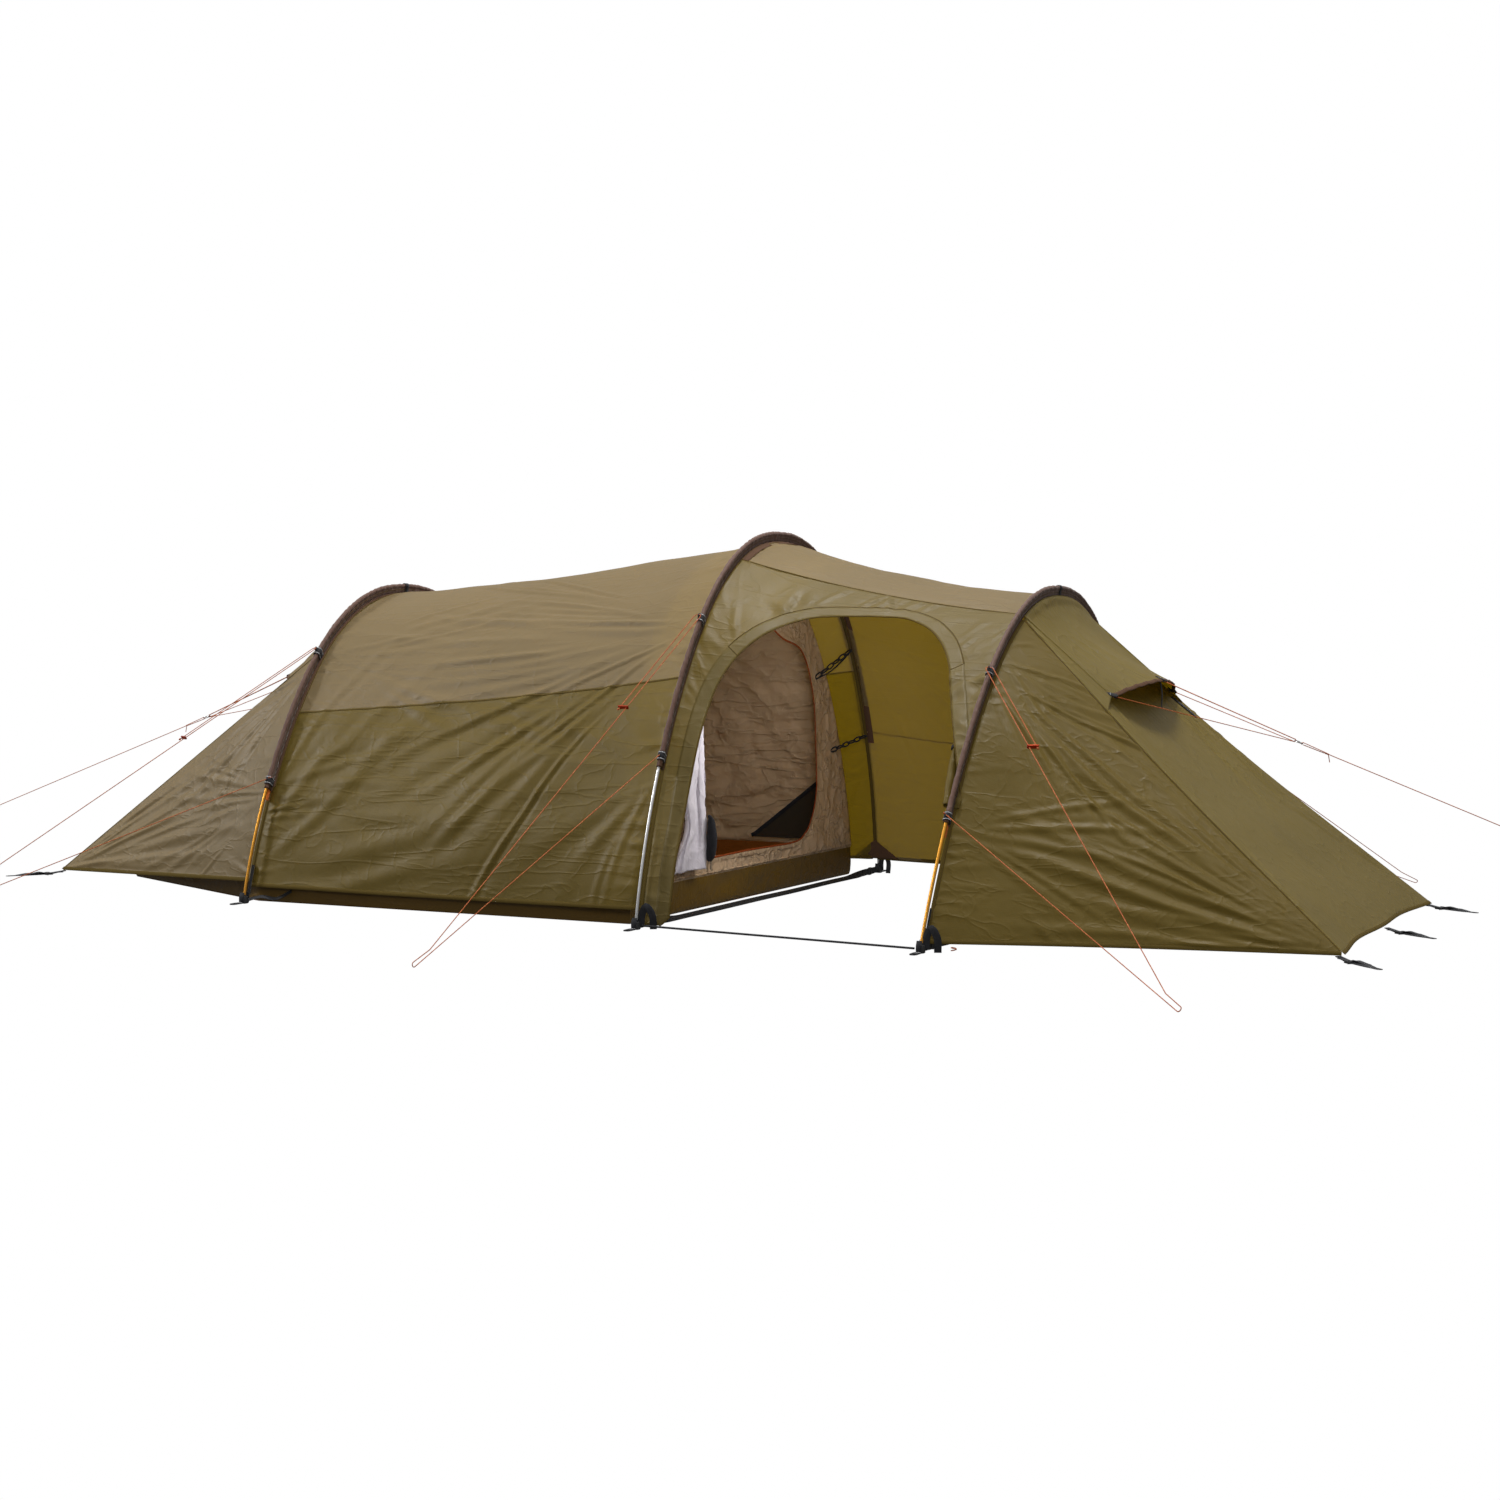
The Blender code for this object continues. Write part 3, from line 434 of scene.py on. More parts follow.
def carried(path, start_up):
    """Up directions carried along a path without twist."""
    tangent = unit(np.gradient(np.asarray(path, float), axis=0))
    ups = [unit(np.asarray(start_up, float) - tangent[0] * (tangent[0] @ start_up))]
    for t in tangent[1:]:
        ups.append(unit(ups[-1] - t * (ups[-1] @ t)))
    return np.array(ups)


def resample(points, spacing):
    """A smooth curve through the points, evenly spaced."""
    points = np.asarray(points, float)
    grid = [points[0]]
    padded = np.vstack([2 * points[0] - points[1], points, 2 * points[-1] - points[-2]])
    for a, b, c, d in zip(padded, padded[1:], padded[2:], padded[3:]):
        for t in np.linspace(0.0, 1.0, 17)[1:]:
            curve = 2 * b + (c - a) * t + (2 * a - 5 * b + 4 * c - d) * t * t
            grid.append((curve + (3 * b - a - 3 * c + d) * t**3) / 2)
    grid = np.array(grid)
    arc = np.append(0.0, np.cumsum(np.linalg.norm(np.diff(grid, axis=0), axis=1)))
    want = np.linspace(0.0, arc[-1], max(int(arc[-1] / spacing) + 1, 3))
    return np.stack([np.interp(want, arc, grid[:, k]) for k in range(3)], -1)


def walked(rows, axis):
    """Distance along one axis of a grid of points, from its first row or column."""
    first = np.take(rows, [0], axis)
    return np.cumsum(np.linalg.norm(np.diff(rows, axis=axis, prepend=first), axis=2), axis)


class Shape:
    """Collects grids and swept sections into one piece."""

    def __init__(self):
        self.points, self.faces, self.uvs, self.slots = [], [], [], []
        self.count = 0

    def grid(self, rows, around=False, slot=0):
        """Quads between rows of points, mapped flat in metres; around closes every row on itself."""
        rows = np.asarray(rows, float)
        n, m = rows.shape[:2]
        index = np.arange(n * m).reshape(n, m) + self.count
        wide = np.concatenate([rows, rows[:, :1]], 1) if around else rows
        if around:
            index = np.concatenate([index, index[:, :1]], 1)
        u, v = walked(wide, 1), walked(wide, 0)
        flat = np.stack([u, np.broadcast_to(v.mean(1, keepdims=True), u.shape)], -1)
        for part, store in ((index, self.faces), (flat, self.uvs)):
            corners = [part[:-1, :-1], part[:-1, 1:], part[1:, 1:], part[1:, :-1]]
            store.extend(np.stack(corners, 2).reshape(-1, 4, *part.shape[2:]).tolist())
        self.slots += [slot] * ((n - 1) * (index.shape[1] - 1))
        self.points.append(rows.reshape(-1, 3))
        self.count += n * m
        return self

    def sweep(self, path, section, ups, closed=False, slot=0):
        """A section of (side, up) offsets carried along a path; closed joins its ends."""
        path = np.asarray(path, float)
        ring = np.vstack([path[-1:], path, path[:1]]) if closed else path
        tangent = unit(np.gradient(ring, axis=0))
        tangent = tangent[1:-1] if closed else tangent
        side = unit(np.cross(tangent, np.broadcast_to(ups, path.shape)))
        up = np.cross(side, tangent)
        section = np.broadcast_to(section, (len(path),) + np.shape(section)[-2:])
        rows = path[:, None] + side[:, None] * section[..., :1] + up[:, None] * section[..., 1:]
        if closed:
            rows = np.concatenate([rows, rows[:1]])
        first = self.count
        self.grid(rows, around=True, slot=slot)
        if closed:
            return self
        m = rows.shape[1]
        for start, order in ((first, -1), (first + (len(rows) - 1) * m, 1)):
            self.faces.append(list(range(start, start + m))[::order])
            self.uvs.append([[0.0, 0.0]] * m)
            self.slots.append(slot)
        return self

    def tube(self, path, radius, sides=12, slot=0, closed=False):
        """A round section along a path, with one radius or one per point."""
        path = np.asarray(path, float)
        tangent = unit(path[1] - path[0])
        guess = (0.0, 1.0, 0.0) if abs(tangent[1]) < 0.9 else (1.0, 0.0, 0.0)
        section = circle(1.0, sides) * np.reshape(radius, (-1, 1, 1))
        return self.sweep(path, section, carried(path, guess), closed, slot)

    def strap(self, path, ups, width, thickness, slot=0, closed=False):
        """A flat band along a path: ups is the direction its face looks, one or one per point."""
        return self.sweep(path, flat_section(width, thickness), ups, closed, slot)

    def block(self, centre, axes, size, slot=0, ease=0.25):
        """A small eased box: centre, its X and Z directions, and its size."""
        x, z = unit(axes[0]), unit(axes[1])
        ends = np.array([-0.5, -0.5 + ease * 0.2, 0.5 - ease * 0.2, 0.5]) * size[0]
        path = np.asarray(centre, float) + x * ends[:, None]
        shrink = np.array([1 - ease, 1.0, 1.0, 1 - ease]).reshape(-1, 1, 1)
        section = flat_section(size[1], size[2]) * shrink
        return self.sweep(path, section, z, False, slot)

    def make(self, name, *materials, body="tent", slot=None, replaces=(), thick=None, sharp=50):
        """The finished piece, on its body, with the CAD nodes it stands in for hidden; slot is not used."""
        data = bpy.data.meshes.new(name)
        data.from_pydata(np.concatenate(self.points).tolist(), [], self.faces)
        layer = data.uv_layers.new(name="flat")
        layer.data.foreach_set("uv", [c for face in self.uvs for corner in face for c in corner])
        for key in materials:
            data.materials.append(MATERIALS[key])
        data.polygons.foreach_set("material_index", self.slots)
        data.shade_smooth()
        data.set_sharp_from_angle(angle=math.radians(sharp))
        obj = add_object(name, data)
        if thick:
            solid = obj.modifiers.new("thickness", "SOLIDIFY")
            solid.thickness = thick
            solid.offset = 0.0
        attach(obj, body)
        if replaces:
            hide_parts(*replaces)
        return obj


# Wrinkles


def drift(points, size, seed):
    """Smooth value from about -1 to 1 that wanders over this distance."""
    rng = np.random.default_rng(seed)
    value = 0.0
    for _ in range(6):
        way = unit(rng.normal(size=3)) * rng.uniform(0.7, 1.5) * 2.0 * math.pi / size
        value = value + np.sin(points @ way + rng.uniform(0.0, 2.0 * math.pi))
    return value / 3.2


def ridges(phase):
    """Narrow crests and wide hollows."""
    return np.cos(phase) + 0.38 * np.cos(2.0 * phase)


def fold(q):
    """Profile of one tension fold: a rounded crest between two shallow hollows."""
    return (1.0 - 0.8 * q * q) * np.exp(-0.5 * q * q)


def fan(points, normals, source, aim, spread_deg, reach, height, count, wide, seed):
    """Separate folds that leave a point of pull towards another and spread to each side."""
    source, aim = np.asarray(source, float), np.asarray(aim, float)
    away = points - source
    middle = unit(aim - source)
    across = unit(np.cross(unit(normals.reshape(-1, 3).mean(0)), middle))
    angle = np.arctan2(away @ across, away @ middle)
    distance = np.linalg.norm(away, axis=-1)
    rng = np.random.default_rng(seed)
    spread = math.radians(spread_deg)
    value = 0.0
    for lane in np.linspace(-spread, spread, int(count)):
        lane = lane + rng.normal() * spread / count * 0.8
        start = rng.uniform(0.01, 0.35) * reach
        length = rng.uniform(0.35, 0.75) * reach
        size = wide * rng.uniform(0.006, 0.013) * (0.6 + 0.9 * distance / reach)
        bend = rng.normal() * 0.05 * (distance - start) / reach
        wobble = 0.004 * np.sin(distance * rng.uniform(6.0, 14.0) + rng.uniform(0.0, 6.28))
        q = ((angle - lane - bend) * distance + wobble) / size
        t = np.clip((distance - start) / length, 0.0, 1.0)
        window = np.sin(math.pi * t**0.7) ** 1.3
        value = value + fold(q) * window * rng.uniform(0.35, 1.0)
    return value * height


def surface_normals(rows):
    """Normals at the points of a grid."""
    return unit(np.cross(np.gradient(rows, axis=1), np.gradient(rows, axis=0)))


def clear_of_ends(count, width):
    """Nearly 0 on the first and last of this many rows, 1 inside, as a column."""
    v = np.linspace(0.0, 1.0, count)[:, None]
    return ramp(-0.2 * width, width, v) * ramp(-0.2 * width, width, 1.0 - v)


# Poles and sleeves


def sleeve_ends(name):
    """Fractions of the hoop at which its sleeve starts and stops."""
    end = HOOPS[name].near(SLEEVE_END_HEIGHTS[name])
    return end, 1.0 - end


def make_pole(name, finish):
    """A pole of tube sections, with the shoulder of each ferrule joint and a foot tip."""
    hoop = HOOPS[name]
    joints = (np.arange(1, POLE_SECTIONS) + 0.15) / POLE_SECTIONS
    stations = np.linspace(hoop.near(0.009), 1.0 - hoop.near(0.009), 260)
    for joint in joints:
        stations = np.append(stations, joint + np.array([-0.8, -0.6, 0.6, 0.8]) * 0.0009)
    stations = np.sort(stations)
    from_joint = np.abs(stations[:, None] - joints).min(1)
    radius = np.where(from_joint < 0.0006, POLE_RADIUS - 0.0006, POLE_RADIUS)
    shape = Shape().tube(hoop.at(stations), radius, 14)
    for end in (stations[0], stations[-1]):
        tip = hoop.at(np.array([end, lerp(end, 0.5, 0.012)]))
        shape.tube(tip, POLE_RADIUS + 0.0008, 14, 1)
    slot = "pole_silver" if finish == "silver" else "pole_gold"
    shape.make(f"{name}_pole_sections", finish, "plastic", slot=slot, replaces=[f"{name}_pole"])


def make_sleeve(name):
    """A folded strip round the pole: a soft tube outside, a flat web down to the fly seam."""
    hoop = HOOPS[name]
    low, high = sleeve_ends(name)
    stations = np.linspace(low, high, 420)
    turn = np.radians(np.linspace(-150, 150, 15))
    section = [(-FLY_INSET, -0.0009), (-0.017, -0.0016), (-0.011, -0.0030)]
    section += [(SLEEVE_RADIUS * math.cos(a), SLEEVE_RADIUS * math.sin(a)) for a in turn]
    section += [(-0.011, 0.0030), (-0.017, 0.0016), (-FLY_INSET, 0.0009)]
    rows = np.stack([hoop.at(stations, out, along) for out, along in section], 1)
    pucker = drift(rows, 0.022, 11) * 0.0008 + drift(rows, 0.09, 12) * 0.0006
    weight = np.array([0.0 if abs(out + FLY_INSET) < 1e-6 else 1.0 for out, _ in section])
    rows = rows + surface_normals(rows) * (pucker * weight)[..., None]
    node, pole = f"{name}_pole_sleeve", f"{name}_pole"
    small_cloth(f"{name}_sleeve_cloth", rows, "sleeve", "sleeve_brown", node)
    piping = Shape()
    for along in (-0.0028, 0.0028):
        piping.tube(hoop.at(stations[::2], -FLY_INSET + 0.0015, along), 0.0016, 8)
    for along in (-0.0034, 0.0034):
        piping.strap(hoop.at(stations[::2], -0.0125, along), hoop.normal(stations[::2]), 0.0006, 0.0012, 1)
    piping.make(f"{name}_sleeve_piping", "binding", "tape", slot="sleeve_brown")
    hems = Shape()
    for end, way in ((low, 1.0), (high, -1.0)):
        lip = np.linspace(end, end + way * 0.006, 5)
        mouth = [(out * 1.02, along * 1.10) for out, along in section]
        hems.grid(np.stack([hoop.at(lip, out, along) for out, along in mouth], 1))
    hems.make(f"{name}_sleeve_hems", "binding", slot="sleeve_brown", thick=0.0006)


# Fly


def bay(first, second, s, f_first, f_second):
    """Points of the fly between two hoops, pulled in a little halfway."""
    s = np.asarray(s, float)
    start = first.at(f_first, -FLY_INSET, FLY_EDGE_GAP)
    end = second.at(f_second, -FLY_INSET, -FLY_EDGE_GAP)
    pull = unit(first.normal(f_first) + second.normal(f_second))
    sag = BAY_SAG * 4.0 * s * (1.0 - s)
    return lerp(start, end, s[..., None]) - pull * sag[..., None]


def bay_grid(first, second, low, high, n, m):
    """Grid between two hoops: rows along the bay, columns round it."""
    s = np.linspace(0.0, 1.0, n)[:, None] * np.ones((1, m))
    t = np.linspace(0.0, 1.0, m)[None, :] * np.ones((n, 1))
    return bay(first, second, s, lerp(low[0], high[0], t), lerp(low[1], high[1], t))


def puckers(rows, per_metre, height, seed, ends=(True, True)):
    """Short gathers that run off the seams at each end of a bay, each its own length and lean."""
    girth, along = walked(rows, 1), walked(rows, 0)
    rng = np.random.default_rng(seed)
    value = 0.0
    for on, distance in ((ends[0], along), (ends[1], along[-1:] - along)):
        for _ in range(int(girth.max() * per_metre) if on else 0):
            place = rng.uniform(0.0, girth.max())
            reach = rng.uniform(0.03, 0.16)
            wide = rng.uniform(0.006, 0.012) * (1.0 + distance / reach * 0.6)
            q = (girth - place - rng.normal() * 0.25 * distance) / wide
            window = ramp(0.0, 0.010, distance) * np.exp(-((distance / reach) ** 2))
            value = value + fold(q) * window * rng.uniform(0.4, 1.0)
    return value * height


def outward_of(rows):
    """Direction away from the tent's long axis."""
    return unit(rows * (0.0, 1.0, 1.0) - np.array((0.0, 0.0, 0.25)))


def cloth_panel(
    name, rows, key, slot, nodes=(), thick=CLOTH, sharp=70
):
    """One cloth, hidden CAD nodes and all."""
    piece = Shape().grid(rows).make(name, key, slot=slot, replaces=nodes, thick=thick, sharp=sharp)


def small_cloth(name, rows, key, slot, node):
    """A narrow or folded cloth, which is thinner and keeps its sharper edges."""
    cloth_panel(name, rows, key, slot, [node], thick=THIN_CLOTH, sharp=50)


def hoop_edges(trim, rows, normals, ends):
    """Brown tape over each hoop seam of a bay as far down as the sleeve, and a pale piping beside it."""
    for row, way, name in ((0, 1, ends[0]), (-1, -1, ends[1])):
        sewn = rows[row, :, 2] > SLEEVE_END_HEIGHTS[name]
        up = normals[row][sewn][::2]
        trim.strap(rows[row][sewn][::2] + up * 0.0008, up, 0.010, 0.0006, 1)
        beside = rows[row + way] + unit(rows[row + way] - rows[row]) * 0.003
        trim.strap(beside[sewn][::2] + up * 0.0010, up, 0.0035, 0.0014)
        if (name, way) != ("middle", 1):
            under_pole = rows[row] - np.array((way * FLY_EDGE_GAP, 0.0, 0.0))
            trim.strap(under_pole[::2], normals[row, ::2], 0.013, 0.0008)


def make_main_bay():
    """The three cloths of the bay over the inner tent, wrinkled as one."""
    hem = (REAR.near(HEM_HEIGHT), MIDDLE.near(HEM_HEIGHT))
    seam = (REAR.near(REAR_WALL_SEAM_HEIGHT), MIDDLE.near(MIDDLE_WALL_SEAM_HEIGHT))
    n, wall, roof = 260, 150, 270
    stretch = [(hem, seam, wall), (seam, tuple(1 - f for f in seam), roof)]
    stretch.append((tuple(1 - f for f in seam), tuple(1 - f for f in hem), wall))
    parts = [bay_grid(REAR, MIDDLE, low, high, n, m) for low, high, m in stretch]
    rows = np.concatenate([parts[0], parts[1][:, 1:], parts[2][:, 1:]], 1)
    high_guy = [h.at(h.near(GUY_HEIGHTS[k][1]), -FLY_INSET) for k, h in HOOPS.items()]
    sleeve_end = [h.at(sleeve_ends(k)[0], -FLY_INSET) for k, h in HOOPS.items()]
    rear_foot = REAR.at(hem[0], -FLY_INSET)
    near_fans = [
        (high_guy[1], REAR.at(REAR.near(0.72)), 26.0, 1.45, 0.0062, 26, 1.0),
        (high_guy[0], MIDDLE.at(MIDDLE.near(1.02)), 20.0, 1.0, 0.0036, 14, 1.0),
        (rear_foot, high_guy[1], 26.0, 1.45, 0.0042, 11, 1.9),
        (sleeve_end[0], high_guy[1], 24.0, 0.8, 0.0026, 10, 1.2),
        (sleeve_end[1], REAR.at(REAR.near(0.16)), 24.0, 1.0, 0.0030, 11, 1.4),
    ]
    push = drift(rows, 0.5, 3) * 0.0070 + drift(rows, 0.16, 4) * 0.0014
    normals = facing_out(rows)
    for side in (1.0, -1.0):
        here = ramp(-0.02, 0.25, -rows[..., 1] * side)
        for number, (source, aim, *facts) in enumerate(near_fans):
            flip = (1.0, side, 1.0)
            made = fan(rows, normals, source * flip, aim * flip, *facts, 40 + number)
            push = push + made * here
    push = push + puckers(rows, 26, 0.0022, 8)
    rows = rows + normals * (push * clear_of_ends(len(rows), 0.02))[..., None]
    cuts = np.cumsum([0, wall - 1, roof - 1, wall - 1])
    # Painted light: the roof takes fly_tan, the wall cloth made paler where the sky lights it
    names = (("main_near_wall", "fly_olive"), ("main_roof", "fly_tan"), ("main_far_wall", "fly_olive"))
    for (name, key), a, b in zip(names, cuts, cuts[1:]):
        cloth_panel(f"{name}_cloth", rows[:, a : b + 1], key, key, [name])
    trim = Shape()
    for column in cuts[1:3]:
        path = rows[:, column] + normals[:, column] * 0.0007
        trim.strap(path[::2], normals[::2, column], SEAM_WIDTH, SEAM_THICKNESS)
    for column in (0, -1):
        path = rows[:, column] + UP * 0.003
        trim.strap(path[::2], normals[::2, column], HEM_WIDTH, HEM_THICKNESS)
    hoop_edges(trim, rows, normals, ("rear", "middle"))
    trim.make("main_bay_seams", "tape", "binding", slot="fly_olive")


def clear_of_edges(rows, width=0.012):
    """0 on the four edges of a grid, 1 a short way inside."""
    u, v = walked(rows, 1), walked(rows, 0)
    edge = np.minimum(np.minimum(u, u[:, -1:] - u), np.minimum(v, v[-1:] - v))
    return ramp(0.0, width, edge)


def facing_out(rows):
    """Normals that point away from the tent's long axis."""
    normals = surface_normals(rows)
    return normals * np.sign((normals * outward_of(rows)).sum(-1).mean())


def door_outline(step=0.004):
    """The fly door's opening in the XZ plane: straight jamb, round top, wide foot."""
    left = MIDDLE.x + 0.092
    right = FRONT.x + 0.010
    corner = 0.26
    top = 0.890
    points = [(left - 0.030, 0.012), (left - 0.006, 0.035), (left, 0.085), (left + 0.012, 0.60)]
    for centre, turns in (((left + 0.015 + corner), (180, 90)), ((right - 0.09 - corner), (90, 20))):
        for a in np.radians(np.linspace(*turns, 16)):
            points.append((centre + corner * math.cos(a), top - corner + corner * math.sin(a)))
    points += [(right + 0.012, 0.43), (right + 0.022, 0.372)]
    return resample([(x, 0.0, z) for x, z in points], step)[:, [0, 2]]


def bay_place(low, high, spots):
    """Points of the porch bay at (s, g): along it, and from the hem (0) to the roof seam (1)."""
    s, g = spots[..., 0], spots[..., 1]
    return bay(MIDDLE, FRONT, s, lerp(low[0], high[0], g), lerp(low[1], high[1], g))


def find_in_bay(low, high, targets):
    """The (s, g) whose points have these X and Z."""
    spots = np.stack([(targets[:, 0] - MIDDLE.x) / (FRONT.x - MIDDLE.x), targets[:, 1]], -1)
    for _ in range(25):
        here = bay_place(low, high, spots)[:, [0, 2]]
        ds = bay_place(low, high, spots + (1e-4, 0.0))[:, [0, 2]] - here
        dg = bay_place(low, high, spots + (0.0, 1e-4))[:, [0, 2]] - here
        slopes = np.stack([ds, dg], -1) / 1e-4
        spots = spots + np.linalg.solve(slopes, (targets - here)[..., None])[..., 0] * 0.7
    return spots


def make_door_side():
    """The arch of cloth round the fly door, with its facing and bound edge."""
    low = (MIDDLE.near(HEM_HEIGHT), FRONT.near(HEM_HEIGHT))
    high = (MIDDLE.near(MIDDLE_ROOF_SEAM_HEIGHT), FRONT.near(FRONT_ROOF_SEAM_HEIGHT))
    door = find_in_bay(low, high, door_outline())
    spring = 0.48
    peak = int(np.argmax(door[:, 1]))
    left_low = np.linspace(door[0, 1], spring, 70)[:-1]
    right_low = np.linspace(spring, door[-1, 1], 26)[1:]
    left = np.interp(left_low, door[:peak, 1], door[:peak, 0])
    right = np.interp(right_low, door[: peak - 1 : -1, 1], door[: peak - 1 : -1, 0])
    outer = [(0.0, g) for g in np.linspace(spring, 1.0, 80)]
    outer += [(s, 1.0) for s in np.linspace(0.0, 1.0, 150)[1:-1]]
    outer += [(1.0, g) for g in np.linspace(1.0, spring, 70)]
    outer = np.array(outer)
    centre = np.array((0.5, spring))
    turn = np.arctan2(door[:, 1] - centre[1], door[:, 0] - centre[0])
    reach = np.linalg.norm(door - centre, axis=1)
    upper = (door[:, 1] >= spring - 0.05) & (turn > -0.5)
    order = np.argsort(turn[upper])
    away = outer - centre
    angle = np.arctan2(away[:, 1], away[:, 0])
    radius = np.interp(angle, turn[upper][order], reach[upper][order])
    inner = centre + np.stack([np.cos(angle), np.sin(angle)], -1) * radius[:, None]
    inner_edge = np.vstack([np.stack([left, left_low], -1), inner, np.stack([right, right_low], -1)])
    outer_left = np.stack([left * 0.0, left_low], -1)
    outer_edge = np.vstack([outer_left, outer, np.stack([right * 0.0 + 1.0, right_low], -1)])
    t = np.linspace(0.0, 1.0, 34)[:, None, None]
    rows = bay_place(low, high, lerp(inner_edge[None], outer_edge[None], t))
    normals = facing_out(rows)
    from_door = walked(rows, 0)
    to_seam = from_door[-1:] - from_door
    along = np.cumsum(np.linalg.norm(np.diff(rows[0], axis=0, prepend=rows[0, :1]), axis=1))
    rng = np.random.default_rng(61)
    over_arch = ramp(0.50, 0.75, rows[..., 2])
    push = drift(rows, 0.3, 64) * 0.0035 + drift(rows, 0.09, 65) * 0.0008
    for _ in range(46):
        place = rng.uniform(0.35, along[-1])
        lean = rng.normal() * 0.35 + 0.25
        wide = rng.uniform(0.007, 0.014) * (1.0 + from_door * 3.0)
        middle, reach = rng.uniform(0.055, 0.13), rng.uniform(0.03, 0.07)
        window = np.exp(-(((from_door - middle) / reach) ** 2)) * ramp(0.030, 0.060, from_door)
        q = (along[None] - place - lean * (from_door - 0.04)) / wide
        push = push + fold(q) * window * over_arch * rng.uniform(0.0012, 0.0042)
    for _ in range(44):
        place = rng.uniform(0.0, along[-1])
        wide = rng.uniform(0.006, 0.011) * (1.0 + to_seam * 6.0)
        reach = rng.uniform(0.03, 0.10)
        q = (along[None] - place - rng.normal() * 0.4 * to_seam) / wide
        push = push + fold(q) * np.exp(-((to_seam / reach) ** 2)) * rng.uniform(0.0008, 0.0022)
    loose = (1.0 - ramp(0.25, 0.65, rows[..., 2])) * ramp(0.01, 0.05, from_door)
    push = push + ridges(rows[..., 0] / 0.045 * 2 * math.pi + drift(rows, 0.3, 66) * 2.0) * loose * 0.0016
    right_side = ramp(0.9, 1.0, rows[..., 0]) * (1.0 - ramp(0.70, 0.80, rows[..., 2]))
    push = push + drift(rows, 0.05, 67) * 0.0022 * right_side
    rows = rows + normals * (push * ramp(0.0, 0.012, to_seam))[..., None]
    # Painted light: the cloth round the door takes a paler copy of the olive fly cloth, as the sky lights its
    # arch
    cloth_panel("door_side_cloth", rows, "fly_door", "fly_olive", ["door_side_panel"])
    band = []
    for column in range(rows.shape[1]):
        reach_here = from_door[:, column]
        want = np.minimum(np.linspace(-0.001, 0.045, 7), reach_here[-1] * 0.96)
        spots = [np.interp(want, reach_here, rows[:, column, k]) for k in range(3)]
        band.append(np.stack(spots, -1) + normals[0, column] * 0.0011)
    band = np.array(band).transpose(1, 0, 2)
    trim = Shape().grid(band, slot=0)
    arch = band[-1, :, 2] > np.where(band[-1, :, 0] < 0.65, 0.80, 0.76)
    trim.strap(band[-1][arch], normals[12][arch], 0.0035, 0.0009, 1)
    for end in np.flatnonzero(arch)[[0, -1]]:
        trim.strap(band[:, end], normals[12, end], 0.0035, 0.0009, 1)
    trim.strap(rows[0], normals[0], 0.0055, 0.0024, 1)
    # The facing takes the same paler, painted-light copy of the fly cloth
    trim.make("door_facing", "fly_door", "tape", slot="fly_olive", thick=0.0003, sharp=70)


def make_porch_roof():
    """The cloth from the door's roof seam over the top and down the far side."""
    low = (MIDDLE.near(MIDDLE_ROOF_SEAM_HEIGHT), FRONT.near(FRONT_ROOF_SEAM_HEIGHT))
    high = (1.0 - MIDDLE.near(HEM_HEIGHT), 1.0 - FRONT.near(HEM_HEIGHT))
    rows = bay_grid(MIDDLE, FRONT, low, high, 120, 320)
    normals = facing_out(rows)
    high_guy = MIDDLE.at(1.0 - MIDDLE.near(0.88), -FLY_INSET)
    front_guy = FRONT.at(1.0 - FRONT.near(0.738), -FLY_INSET)
    foot = FRONT.at(1.0 - FRONT.near(0.05), -FLY_INSET)
    push = drift(rows, 0.4, 71) * 0.0035 + drift(rows, 0.14, 72) * 0.0008
    fans = (
        (high_guy, foot, 26.0, 1.1, 0.0036, 10, 1.4),
        (front_guy, MIDDLE.at(1.0 - MIDDLE.near(0.5), -FLY_INSET), 26.0, 0.9, 0.0030, 9, 1.4),
        (FRONT.at(0.42, -FLY_INSET), MIDDLE.at(0.40, -FLY_INSET), 22.0, 0.8, 0.0022, 8, 1.2),
    )
    for number, (source, aim, *facts) in enumerate(fans):
        push = push + fan(rows, normals, source, aim, *facts, 80 + number)
    push = push + puckers(rows, 26, 0.0020, 73)
    rows = rows + normals * (push * clear_of_edges(rows))[..., None]
    # Painted light: the porch roof takes fly_tan, the olive fly cloth made paler as the sky lights it
    cloth_panel("porch_roof_cloth", rows, "fly_tan", "fly_tan", ["vestibule_roof"])
    trim = Shape()
    trim.strap(rows[::2, 0] + normals[::2, 0] * 0.0009, normals[::2, 0], SEAM_WIDTH, SEAM_THICKNESS)
    trim.strap(rows[::2, -1] + UP * 0.003, normals[::2, -1], 0.014, 0.0016)
    # The strip below is drawn in the third material, the paler painted-light copy of the fly cloth
    column = 200 + int(np.argmin(np.abs(rows[0, 200:, 2] - 0.50)))
    across = rows[:, column] - normals[:, column] * 0.0010
    trim.strap(across[::2], -normals[::2, column], 0.004, 0.0005, 2)
    hoop_edges(trim, rows, normals, ("middle", "front"))
    sewn = rows[0, :, 2] > SLEEVE_END_HEIGHTS["middle"]
    inside = rows[0] - normals[0] * 0.0012 + np.array((0.010, 0.0, 0.0))
    trim.strap(inside[sewn][::2], -normals[0][sewn][::2], 0.024, 0.0006, 1)
    sewn = rows[-1, :, 2] > SLEEVE_END_HEIGHTS["front"]
    trim.strap((rows[-1] - normals[-1] * 0.0012)[sewn][::2], -normals[-1][sewn][::2], 0.020, 0.0006, 1)
    trim.make("porch_roof_seams", "tape", "binding", "fly_tan", slot="fly_tan")


